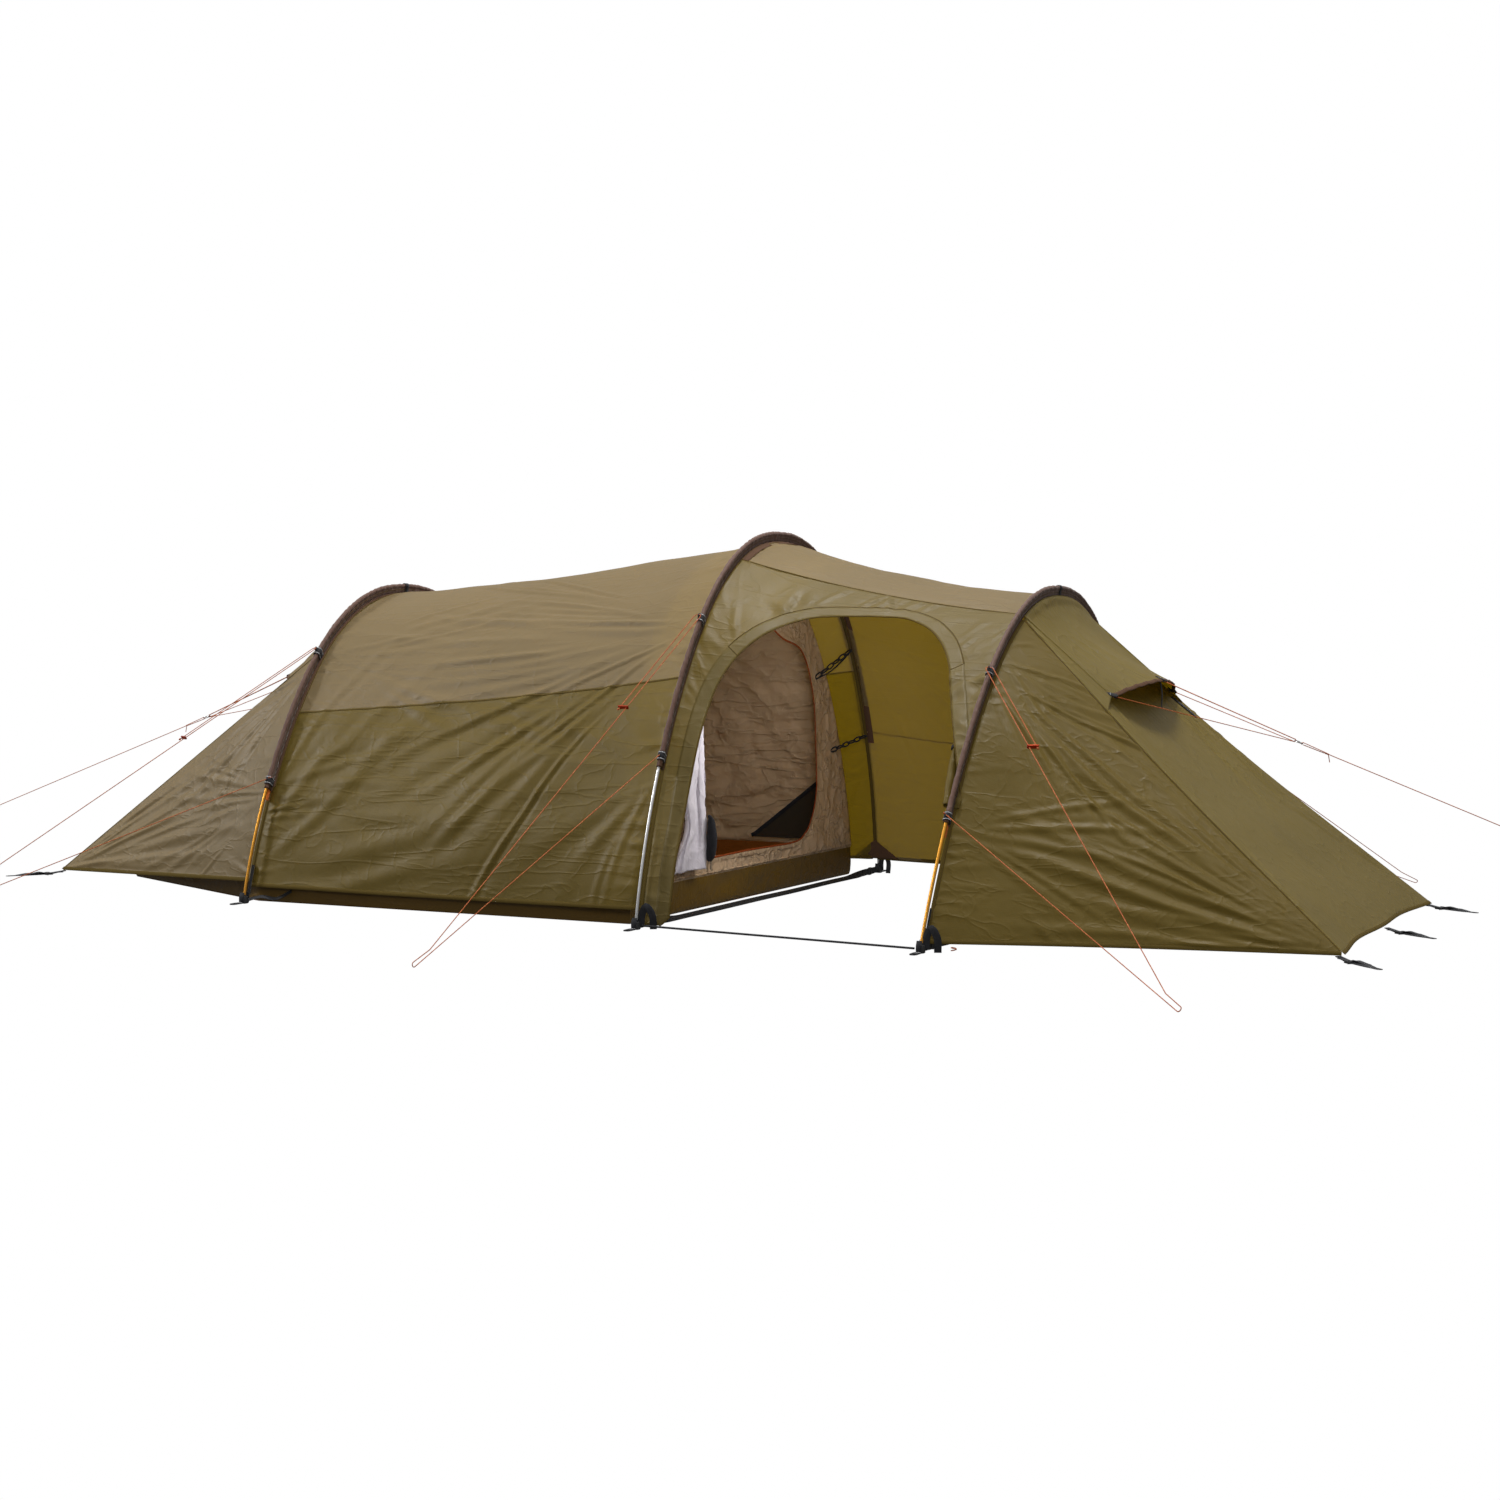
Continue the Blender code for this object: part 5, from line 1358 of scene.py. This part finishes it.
def make_inner_details():
    """Net pocket in the far wall, the hangers that hold the inner tent, and the far foot's patch."""
    net = Shape()
    low_x, wide, tall = INNER_FRONT_X - 0.006, 0.36, 0.265
    rows = []
    for u in np.linspace(0.0, 1.0, 22):
        x = low_x - wide * u
        arch = inner_arch(x, 1.0, 161)[80:]
        z = 0.120 + np.linspace(0.0, 1.0, 18) * max(tall * (1.0 - u), 0.004)
        y = np.interp(z, arch[::-1, 2], arch[::-1, 1]) - 0.024
        rows.append(np.stack([0.0 * z + x, y, z], -1))
    rows = np.array(rows)
    net.grid(rows)
    net.strap(rows[:, -1], (0.0, -1.0, 0.0), 0.014, 0.0012, 1)
    net.make("far_wall_net", "dark_net", "webbing", slot="webbing")
    hangers = Shape()
    for height, inner_y, inner_z in ((0.80, 0.51, 0.69), (0.50, 0.655, 0.44)):
        high = MIDDLE.at(1.0 - MIDDLE.near(height), -FLY_INSET - 0.004)
        low = np.array((INNER_FRONT_X + 0.002, inner_y, inner_z))
        way = unit(high - low)
        reach = np.linalg.norm(high - low)
        links = int(reach / 0.024)
        for k in range(links):
            middle = low + way * (k + 0.5) * reach / links
            half = reach / links * 0.60
            lean = unit(np.cross(way, (0.3, 0.2, 1.0)))
            lean = lean if k % 2 else unit(np.cross(way, lean))
            ring = circle(1.0, 16)
            loop = middle + way * ring[:, :1] * half + lean * ring[:, 1:] * 0.0072
            hangers.tube(loop, 0.0026, 8, 0, closed=True)
        if height > 0.6:
            sag = lerp(high, low, 0.5) - UP * 0.018
            brace = resample([high + (0.0, 0.012, 0.0), sag, low - UP * 0.006], 0.02)
            hangers.strap(brace, UP, 0.012, 0.0012)
    hangers.make("inner_tent_hangers", "webbing", slot="webbing")
    patch = Shape()
    for side in (-1.0, 1.0):
        f = on_side(np.linspace(MIDDLE.near(0.058), MIDDLE.near(0.125), 10), side)
        wide = np.linspace(1.0, 0.02, 10)[:, None] * np.linspace(-0.088, 0.088, 9)[None]
        patch.grid(MIDDLE.at(np.repeat(f[:, None], 9, 1), -FLY_INSET - 0.004, wide))
    patch.make("middle_foot_patches", "binding", slot="sleeve_brown", thick=0.0006)


# Webbing, feet and buckles


def rounded(width, height, radius, count=36):
    """Outline of a rounded rectangle, evenly turned, as (x, y)."""
    a = np.linspace(0.0, 2 * math.pi, count, endpoint=False)
    c, s = np.cos(a), np.sin(a)
    n = 2.0 + 6.0 * (1.0 - min(radius / (min(width, height) / 2), 1.0))
    reach = (np.abs(c / (width / 2)) ** n + np.abs(s / (height / 2)) ** n) ** (-1.0 / n)
    return np.stack([c * reach, s * reach], -1)


def washer(shape, place, outer, hole, thickness, slot=0):
    """A flat body with a hole: place turns local (x, y, z) into the shared frame."""
    t = thickness / 2
    rings = [(outer, t), (hole, t), (hole, -t), (outer, -t)]
    rings.append(rings[0])
    rows = np.array([place(np.column_stack([ring, np.full(len(ring), z)])) for ring, z in rings])
    return shape.grid(rows, around=True, slot=slot)


def placed(origin, heading_deg, lift=0.0):
    """Place for a piece that lies level and points along this heading."""
    a = math.radians(heading_deg)
    turn = np.array(((math.cos(a), math.sin(a), 0.0), (-math.sin(a), math.cos(a), 0.0), (0.0, 0.0, 1.0)))
    origin = np.asarray(origin, float) + UP * lift
    return lambda local: np.asarray(local, float) @ turn + origin


def stood_up(origin):
    """Place for a flat piece that stands across the tent and faces +X."""
    turn = np.array(((0.0, 1.0, 0.0), (0.0, 0.0, 1.0), (1.0, 0.0, 0.0)))
    return lambda local: np.asarray(local, float) @ turn + origin


def stitch_rows(shape, place, shifts, z, half, slot):
    """Rows of stitches across a strap, at these distances along it."""
    for shift in shifts:
        row = place([(shift, y, z) for y in np.linspace(-half, half, 7)])
        shape.strap(row, UP, STITCH_WIDTH, STITCH_THICKNESS, slot)


def band_loop(hoop, fraction, section):
    """Points and outward directions of a loop of (outward, along) offsets round a hoop."""
    out, along = np.array(section).T
    normal = hoop.normal(fraction)
    path = hoop.at(np.full(len(out), fraction), out, along)
    facing = unit(normal * (out + 0.004)[:, None] + ALONG * along[:, None] * 1.5)
    return path, facing


def sleeve_loop(radius, inner=-0.022):
    """Offsets of a band that goes round the sleeve and down both sides of its web."""
    turn = np.radians(np.linspace(-140, 140, 19))
    section = [(inner, -0.0045)]
    section += [(radius * math.cos(a), radius * math.sin(a)) for a in turn]
    return section + [(inner, 0.0045)]


def make_bands():
    """Guy bands with reflective edges and cord loops, hoop-top bands, and sleeve-end tabs."""
    for name, hoop in HOOPS.items():
        shape = Shape()
        for side in (-1.0, 1.0):
            for height, out in zip(GUY_HEIGHTS[name], (LOW_BAND_OUT, HIGH_BAND_OUT)):
                f = on_side(hoop.near(height), side)
                for radius, width, shift, slot in (
                    (BAND_RADIUS, 0.026, 0.0, 0),
                    (BAND_EDGE_RADIUS, 0.0020, 0.0095, 1),
                    (BAND_EDGE_RADIUS, 0.0020, -0.0095, 1),
                ):
                    path, facing = band_loop(hoop, f + shift / hoop.length, sleeve_loop(radius))
                    shape.strap(path, facing, width, 0.0012, slot, closed=True)
                ring = circle(1.0, 16)
                reach = (out - 0.0075) / 2
                section = np.stack([0.0085 + reach * (1.0 + ring[:, 0]), ring[:, 1] * 0.0034], -1)
                path, facing = band_loop(hoop, f, section)
                centre = hoop.at(f, 0.0085 + reach)
                shape.strap(path, unit(path - centre), 0.009, 0.0012, 0, closed=True)
            if name != "middle":
                low = hoop.near(SLEEVE_END_HEIGHTS[name] - 0.030)
                high = hoop.near(SLEEVE_END_HEIGHTS[name] + 0.008)
                path = hoop.at(on_side(np.linspace(low, high, 6), side), -0.0135)
                shape.strap(path, ALONG, 0.020, 0.0016, 2)
        if name != "middle":
            path, facing = band_loop(hoop, 0.5, sleeve_loop(0.0086, -0.025))
            shape.strap(path, facing, 0.020, 0.0012, 0, closed=True)
        shape.make(f"{name}_guy_bands", "webbing", "reflective", "orange_web", slot="webbing")


def make_foot(name, hoop, side):
    """Foot: webbing cradle under the pole tip, moulded cup, peg tab with an eye and its stitches."""
    point = hoop.at(on_side(hoop.near(FOOT_HEIGHT), side))
    base = np.array((point[0], point[1], 0.0))
    heading = math.degrees(side * math.pi / 2)
    place = placed(base, heading)
    shape = Shape()
    tip = np.array([(0, 0, 0.0006), (0, 0, 0.002), (0, 0, 0.016), (0, 0, 0.0215), (0, 0, 0.0220)])
    shape.tube(place(tip), [0.010, 0.0126, 0.0128, 0.0118, 0.0098], 20, 1)
    cradle = [(-0.0125, 0, 0.034), (-0.0150, 0, 0.020), (-0.0135, 0, 0.0035), (0.0, 0, 0.0010)]
    cradle += [(0.0135, 0, 0.0035), (0.0150, 0, 0.020), (0.0090, 0, 0.034)]
    path = place(resample(cradle, 0.004))
    middle = place([(0.0, 0.0, 0.030)])[0]
    shape.strap(path, unit(path - middle), 0.016, WEBBING_THICKNESS)
    tab = rounded(0.052, 0.020, 0.006)
    hole = rounded(0.012, 0.008, 0.003)
    for lift in (0.0028, 0.0046):
        outer = tab + (0.040, 0.0)
        washer(shape, placed(base, heading, lift), outer, hole + (0.054, 0.0), 0.0015)
    stitch_rows(shape, place, (0.022, 0.030), 0.0056, 0.008, 2)
    keys = ("webbing", "plastic", "reflective")
    shape.make(f"{name}_foot_webbing", *keys, slot="webbing", replaces=[f"{name}_foot"])


def make_feet():
    """The six feet, and the loose loops, straps and cord end beside them."""
    for name, hoop in HOOPS.items():
        for word, side in (("near", -1.0), ("far", 1.0)):
            make_foot(f"{name}_{word}", hoop, side)
    extra = Shape()
    for hoop, side, reach in ((MIDDLE, -1.0, 0.034), (FRONT, -1.0, 0.030), (MIDDLE, 1.0, 0.030)):
        foot = hoop.at(hoop.near(FOOT_HEIGHT))
        a = np.array((foot[0] + 0.012, abs(foot[1]) * side - side * 0.006, 0.010))
        b = a + (reach, -side * 0.012, -0.008)
        top = lerp(a, b, 0.42) + UP * 0.060
        rise, fall = lerp(a, top, 0.6) - (0.006, 0, 0), lerp(top, b, 0.4) + (0.010, 0, 0)
        path = resample([a, rise, top, fall, b], 0.006)
        extra.strap(path, (0.3, side, 0.1), 0.020, 0.0016)
    foot = REAR.at(REAR.near(FOOT_HEIGHT))
    wavy = [(foot[0] + 0.012, foot[1] + 0.004, 0.012), (foot[0] + 0.05, foot[1] + 0.02, 0.022)]
    wavy += [(foot[0] + 0.09, foot[1] + 0.04, 0.016), (foot[0] + 0.13, foot[1] + 0.062, 0.040)]
    path = resample(wavy, 0.006)
    extra.strap(path, (0.0, -0.5, 1.0), 0.018, 0.0016)
    for sleeve_foot in (REAR, FRONT):
        low = sleeve_foot.near(0.030)
        f = np.linspace(low, sleeve_foot.near(0.120), 10)
        path = sleeve_foot.at(f, -0.017, 0.003)
        extra.strap(path, ALONG, 0.014, WEBBING_THICKNESS)
    front = FRONT.at(FRONT.near(FOOT_HEIGHT))
    knot = np.array((front[0] + 0.075, front[1] + 0.050, 0.010))
    turns = np.linspace(0.0, 4 * math.pi, 40)
    coil = knot + np.stack([0.007 * np.cos(turns), 0.007 * np.sin(turns), 0.004 * np.sin(turns * 0.5)], -1)
    extra.tube(coil, 0.0012, 8, 1)
    extra.make("foot_loops", "webbing", "cord", slot="webbing")


def make_ground_webbing():
    """Width straps between the feet, and the thin cord along the foot of the side door."""
    for name, hoop in (("middle", MIDDLE), ("front", FRONT)):
        half = abs(hoop.at(hoop.near(FOOT_HEIGHT))[1]) - 0.004
        y = np.linspace(-half, half, 160)
        sag = 0.004 * np.sin(y * 9.0) * np.sin(y * 2.3 + 1.0)
        laid = ramp(0.10, 0.30, half - np.abs(y))
        path = np.stack([hoop.x + sag * 0.6, y, 0.0135 - 0.0065 * laid], -1)
        tilt = unit(np.stack([1.0 - 0.55 * laid, 0.0 * y, 0.95 * laid + 0.06 * np.sin(y * 5.0)], -1))
        shape = Shape().strap(path, tilt, 0.022, 0.0018)
        for end in (-1.0, 1.0):
            lap = path[np.abs(y - end * (half - 0.10)) < 0.055] + (0.0026, 0.0, 0.0)
            shape.strap(lap, ALONG, 0.022, 0.0016)
            centre = np.array((hoop.x + 0.0035, end * (half - 0.09), 0.0140))
            outer, hole = rounded(0.030, 0.026, 0.005), rounded(0.018, 0.020, 0.003)
            washer(shape, stood_up(centre), outer, hole, 0.004, 1)
        nodes = [f"{name}_width_strap"]
        shape.make(f"{name}_width_webbing", "webbing", "plastic", slot="webbing", replaces=nodes)
    start = np.array((MIDDLE.x + 0.018, MIDDLE.at(0.0)[1] + 0.004, 0.012))
    end = np.array((FRONT.x - 0.018, FRONT.at(0.0)[1] + 0.006, 0.012))
    cord = resample([start, end], 0.02)
    braided = Shape().tube(cord, 0.0030, 10)
    braided.make("threshold_braid", "webbing", slot="webbing", replaces=["threshold_cord"])


STRAP_ANCHORS = {
    "front_near": ((2.145, -0.715, 0.005), -48.0),
    "front_centre": ((2.148, 0.0, 0.005), -40.0),
    "front_far": ((2.145, 0.715, 0.005), -32.0),
    "rear_near": ((-2.209, -0.495, 0.005), 242.0),
    "rear_far": ((-2.209, 0.495, 0.005), 118.0),
}


def make_peg_straps():
    """Peg straps with an eye at the tip, each through a ladder lock sewn to the hem."""
    for name, (anchor, heading) in STRAP_ANCHORS.items():
        place = placed(anchor, heading)
        strap = Shape()
        path = place([(x, 0.0, 0.0) for x in np.linspace(-0.030, 0.142, 40)])
        across = unit(place([(0.0, 1.0, 0.0)])[0] - place([(0.0, 0.0, 0.0)])[0])
        path = path + UP * np.interp(np.arange(40), (0, 12), (0.008, 0.0))[:, None]
        turn = np.interp(np.arange(40), (0, 9, 20, 31, 39), (0.0, 0.10, 0.35, 0.35, 0.0))[:, None]
        tilt = unit(UP * np.cos(turn) - across * np.sign(across[1]) * np.sin(turn))
        strap.strap(path + UP * np.sin(turn) * 0.006, tilt, 0.018, 0.0022)
        tip, eye = rounded(0.044, 0.018, 0.006) + (0.154, 0.0), rounded(0.016, 0.008, 0.003) + (0.164, 0.0)
        washer(strap, place, tip, eye, 0.0015)
        stitch_rows(strap, place, (0.128, 0.136), 0.0010, 0.007, 1)
        bends = [(0.040, 0.0, 0.0024), (0.060, 0.002, 0.0080), (0.085, 0.006, 0.0050), (0.105, 0.010, 0.0024)]
        tail = place(resample(bends, 0.004))
        strap.strap(tail, UP, 0.016, 0.0012)
        strap.make(
            f"{name}_peg_webbing",
            "webbing",
            "reflective",
            body=f"{name}_strap",
            slot="webbing",
            replaces=[f"{name}_peg_strap"],
        )
        lock = Shape()
        outer = rounded(0.028, 0.026, 0.005) + (0.030, 0.0)
        hole = rounded(0.020, 0.0195, 0.003) + (0.030, 0.0)
        washer(lock, place, outer, hole, 0.0050)
        for x, z in ((0.0245, 0.0032), (0.0345, -0.0030)):
            bar = place([(x, y, z) for y in np.linspace(-0.0105, 0.0105, 5)])
            lock.tube(bar, 0.0013, 10)
        for side in (-1.0, 1.0):
            cheek = place([(x, side * 0.0115, 0.0034) for x in np.linspace(0.019, 0.041, 7)])
            lock.tube(cheek, [0.001, 0.0018, 0.0022, 0.0022, 0.0022, 0.0018, 0.001], 10)
        loop = place(resample([(-0.020, 0.0, 0.0035), (0.006, 0.0, 0.0036), (0.0165, 0.0, 0.0032)], 0.003))
        lock.strap(loop, UP, 0.018, WEBBING_THICKNESS, 1)
        nodes = [f"{name}_buckle"]
        lock.make(f"{name}_ladder_lock", "plastic", "webbing", slot="buckle_black", replaces=nodes)


# Guylines

GUY_PEGS = {
    "rear_near": ((-1.785, -1.57, 0.0), 0.52),
    "rear_far": ((-1.785, 1.57, 0.0), 0.52),
    "middle_near": ((0.078, -1.93, 0.0), 0.48),
    "middle_far": ((0.078, 1.93, 0.0), 0.48),
    "front_near": ((1.979, -1.769, 0.0), 0.44),
    "front_far": ((1.963, 1.50, 0.0), 0.32),
}
CENTRE_LINES = {
    "front": ((1.867, 0.0, 0.540), (2.475, 0.0, 0.305)),
    "rear": ((-1.955, 0.0, 0.525), (-2.905, 0.0, 0.170)),
}


def cord_curve(name, points):
    """A round cord as one open curve."""
    data = bpy.data.curves.new(name, "CURVE")
    data.dimensions = "3D"
    data.bevel_depth = CORD_DIAMETER / 2
    data.bevel_resolution = 3
    data.use_fill_caps = True
    spline = data.splines.new("POLY")
    spline.points.add(len(points) - 1)
    for target, point in zip(spline.points, points):
        target.co = (*point, 1.0)
    data.materials.append(MATERIALS["cord"])
    obj = add_object(name, data)
    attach(obj, "tent")
    return obj


def wound(start, axis, span, side, up, loops, count, radius):
    """A coil round an axis: span is where it begins along the axis, and how far it runs."""
    turns = np.linspace(0.0, loops * 2 * math.pi, count)
    coil = start + axis * (span[0] + turns / turns[-1] * span[1])[:, None]
    return coil + (side * np.cos(turns)[:, None] + up * np.sin(turns)[:, None]) * radius


def make_guyline(key, peg, runner_distance):
    """Lower band, peg loop, through the runner to the upper band, and back to the runner."""
    name, side = key.split("_")
    hoop = HOOPS[name]
    places = [hoop.near(height) for height in GUY_HEIGHTS[name]]
    if side == "far":
        places = [1.0 - f for f in places]
    low, high = hoop.at(places[0], LOW_BAND_OUT), hoop.at(places[1], HIGH_BAND_OUT)
    ground = np.array(peg) + UP * PEG_LOOP_Z
    down = unit(ground - high)
    half = unit(np.cross(UP, down)) * STRAND_SPACING / 2
    if np.linalg.norm(ground - half - low) < np.linalg.norm(ground + half - low):
        half = -half
    back = unit(low - ground)
    beside, beyond = unit(back + down), unit(down - back)
    turn = np.linspace(0.0, math.pi, 9)[:, None]
    points = [low[None], ground + (beside * np.cos(turn) + beyond * np.sin(turn)) * PEG_LOOP_RADIUS]
    points.append((ground + half - down * 0.06)[None])
    bend = high + down * STRAND_SPACING / 2
    points.append(bend + half * np.cos(turn) - down * np.sin(turn) * STRAND_SPACING / 2)
    runner = high + down * runner_distance
    points.append((runner + down * 0.008 - half)[None])
    points = np.vstack(points)
    knot = Shape()
    axis = unit(back)
    lean = unit(np.cross(axis, UP))
    coil = wound(low, axis, (0.006, 0.012), lean, np.cross(lean, axis), 3, 60, 0.0017)
    knot.tube(coil, COIL_CORD_RADIUS, 8)
    stopper = runner - half + down * 0.010
    bead = np.linspace(-0.004, 0.004, 7)
    knot.tube(stopper + down * bead[:, None], [0.0012, 0.0024, 0.0030, 0.0032, 0.0030, 0.0024, 0.0012], 10)
    tied = knot.make(f"{key}_guyline_knots", "cord", slot="cord_orange")
    line = cord_curve(f"{key}_guy_cord", points)
    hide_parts(f"{key}_guyline")


def round_ring(ring, line, up, side, towards):
    """Points that carry a cord through a steel ring and round its wire."""
    clear = RING_WIRE + CORD_DIAMETER / 2 + 0.0009
    wire = ring + line * RING_RADIUS * towards + side
    inside = ring + line * (RING_RADIUS - clear) * towards + side
    return [wire - up * clear, inside, wire + up * clear]


def make_centre_line(name):
    """The bridle from the hood to the ring, and the line that holds the ring."""
    corner, tip = (np.array(p) for p in HOODS[name][2:4])
    ring, end = (np.array(p) for p in CENTRE_LINES[name])
    line = unit(end - ring)
    up = unit(np.cross(line, ACROSS))
    up = up if up[2] > 0.0 else -up
    side = np.array((0.0, 0.0016, 0.0))
    turn = np.linspace(0.0, 2 * math.pi, 40, endpoint=False)[:, None]
    loop = ring + (line * np.cos(turn) + ACROSS * np.sin(turn)) * RING_RADIUS
    Shape().tube(loop, RING_WIRE, 12, closed=True).make(
        f"{name}_steel_ring", "steel", slot="steel", replaces=[f"{name}_guy_ring"]
    )
    far = lerp(corner, ring, 0.02)
    top = lerp(tip, ring, 0.02)
    points = [mirror(far), *round_ring(ring, line, up, -side, -1), top - side * 2]
    points += [top + side * 2, *reversed(round_ring(ring, line, up, side, -1)), far]
    bridle = cord_curve(f"{name}_bridle_cord", points)
    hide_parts(f"{name}_bridle")
    knot = ring + line * KNOT_DISTANCE
    points = [*round_ring(ring, line, up, side * 0.0, 1), knot + up * 0.0016]
    points += [knot + line * 0.02, lerp(ring, end, 0.6), end]
    tied = Shape()
    second = [ring + line * (RING_RADIUS + 0.0030) - up * 0.0026, knot - up * 0.0012]
    tied.tube(second, CORD_DIAMETER / 2, 8)
    for place, reach in ((knot, 0.014), (end - line * 0.012, 0.012)):
        coil = wound(place, line, (0.0, reach), ACROSS, up, 4, 80, 0.0018)
        tied.tube(coil, COIL_CORD_RADIUS, 8)
    droops = ((0.012, 0.0), (0.018, 0.010), (0.024, 0.020))
    bends = [knot + line * run - up * drop for run, drop in droops]
    tied.tube(resample(bends, 0.003), CORD_DIAMETER / 2, 8)
    tied_piece = tied.make(f"{name}_centre_knots", "cord", slot="cord_orange")
    cord = cord_curve(f"{name}_centre_cord", points)
    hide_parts(f"{name}_centre_guyline")


def dress_nodes():
    """Detailed materials for the CAD nodes that stay in view."""
    keys = {"line_runner": "red", "zip_slider": "steel"}
    for name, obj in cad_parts.items():
        for word, key in keys.items():
            if name.endswith(word):
                obj.data.materials.clear()
                obj.data.materials.append(MATERIALS[key])


# Stage


SKY_LIGHT = 0.85
HORIZON_LIGHT = 0.14
BOUNCE_LIGHT = 0.16
GROUND_REACH = 40.0
GROUND_Z = -0.001

CAMERA_PLACE = (3.396, -7.330, 0.857)
CAMERA_AIM = (0.130, 0.0, 0.468)
CAMERA_ROLL_DEG = 0.532
LENS_MM = 60.79
SENSOR_MM = 36.0


def make_stage():
    """A white ground and sky that the camera sees as plain white, and five soft lamps."""
    data = bpy.data.meshes.new("floor")
    ways = ((-1, -1), (1, -1), (1, 1), (-1, 1))
    corners = [(x * GROUND_REACH, y * GROUND_REACH, GROUND_Z) for x, y in ways]
    data.from_pydata(corners, [], [(0, 1, 2, 3)])
    white = (1.0, 1.0, 1.0, 1.0)
    pale = Nodes("floor_pale", (0.0, 0.0, 0.0), 1.0, Specular_IOR_Level=0.0, Emission_Color=white)
    seen = pale.add("LightPath").outputs["Is Camera Ray"]
    bright = pale.math("MULTIPLY_ADD", seen, 1.0 - BOUNCE_LIGHT, BOUNCE_LIGHT)
    pale.tree.links.new(bright, pale.shader.inputs["Emission Strength"])
    data.materials.append(pale.material)
    ground = add_object("floor", data)

    world = bpy.data.worlds.new("studio")
    world.use_nodes = True
    world.node_tree.nodes["Background"].inputs["Color"].default_value = (1.0, 1.0, 1.0, 1.0)
    tree = world.node_tree
    seen = tree.nodes.new("ShaderNodeLightPath").outputs["Is Camera Ray"]
    aim = tree.nodes.new("ShaderNodeSeparateXYZ")
    tree.links.new(tree.nodes.new("ShaderNodeTexCoord").outputs["Generated"], aim.inputs[0])
    value = aim.outputs[2]
    steps = (("MAXIMUM", 0.0), ("MULTIPLY_ADD", SKY_LIGHT, HORIZON_LIGHT), ("MAXIMUM", seen))
    for operation, *numbers in steps:
        step = tree.nodes.new("ShaderNodeMath")
        step.operation = operation
        tree.links.new(value, step.inputs[0])
        for place, number in enumerate(numbers, 1):
            if number is seen:
                tree.links.new(seen, step.inputs[place])
            else:
                step.inputs[place].default_value = number
        value = step.outputs[0]
    tree.links.new(value, tree.nodes["Background"].inputs["Strength"])
    bpy.context.scene.world = world
    lamps = {
        "overhead": ((0.8, -0.2, 6.0), (0.0, 0.0, 0.5), 1.2, 300.0),
        "key": ((-6.0, -2.6, 3.6), (0.0, -0.5, 0.5), 0.7, 250.0),
        "behind": ((-0.3, 6.0, 1.8), (0.0, 0.0, 0.5), 3.0, 290.0),
        "fill": ((2.8, -5.6, 1.5), (-0.5, 0.4, 0.3), 0.7, 58.0),
        "porch": ((0.58, -0.30, 0.62), (-0.6, 0.10, 0.36), 0.3, 4.0),
    }
    for name, (place, aim, size, watts) in lamps.items():
        data = bpy.data.lights.new(name, "AREA")
        data.size = size
        data.energy = watts
        lamp = add_object(name, data)
        lamp.location = place
        lamp.visible_glossy = name in ("overhead", "key")
        lamp.visible_camera = False
        lamp.rotation_euler = (Vector(aim) - Vector(place)).to_track_quat("-Z", "Y").to_euler()
    bpy.context.scene.view_settings.view_transform = "Standard"


def make_camera():
    """The camera of the picture: low, from the near side and a little in front."""
    place = Vector(CAMERA_PLACE)
    data = bpy.data.cameras.new("camera")
    data.sensor_width = SENSOR_MM
    data.lens = LENS_MM
    camera = add_object("camera", data)
    turn = (Vector(CAMERA_AIM) - place).to_track_quat("-Z", "Y").to_matrix().to_4x4()
    roll = Matrix.Rotation(math.radians(CAMERA_ROLL_DEG), 4, "Z")
    camera.matrix_world = Matrix.Translation(place) @ turn @ roll
    bpy.context.scene.camera = camera


make_stage()
make_camera()
for hoop_name, finish in (("rear", "gold"), ("middle", "silver"), ("front", "gold")):
    make_pole(hoop_name, finish)
    make_sleeve(hoop_name)
make_main_bay()
make_door_side()
make_porch_roof()
make_front_end()
make_rear_end()
for hoop_name in ("front", "rear"):
    make_hood(hoop_name)
    make_centre_line(hoop_name)
make_fly_roll()
make_tub()
make_inner_canopy()
make_inner_front()
make_inner_door_gather()
make_inner_details()
make_bands()
make_feet()
make_ground_webbing()
make_peg_straps()
for guy_key, (guy_peg, guy_runner) in GUY_PEGS.items():
    make_guyline(guy_key, guy_peg, guy_runner)
dress_nodes()
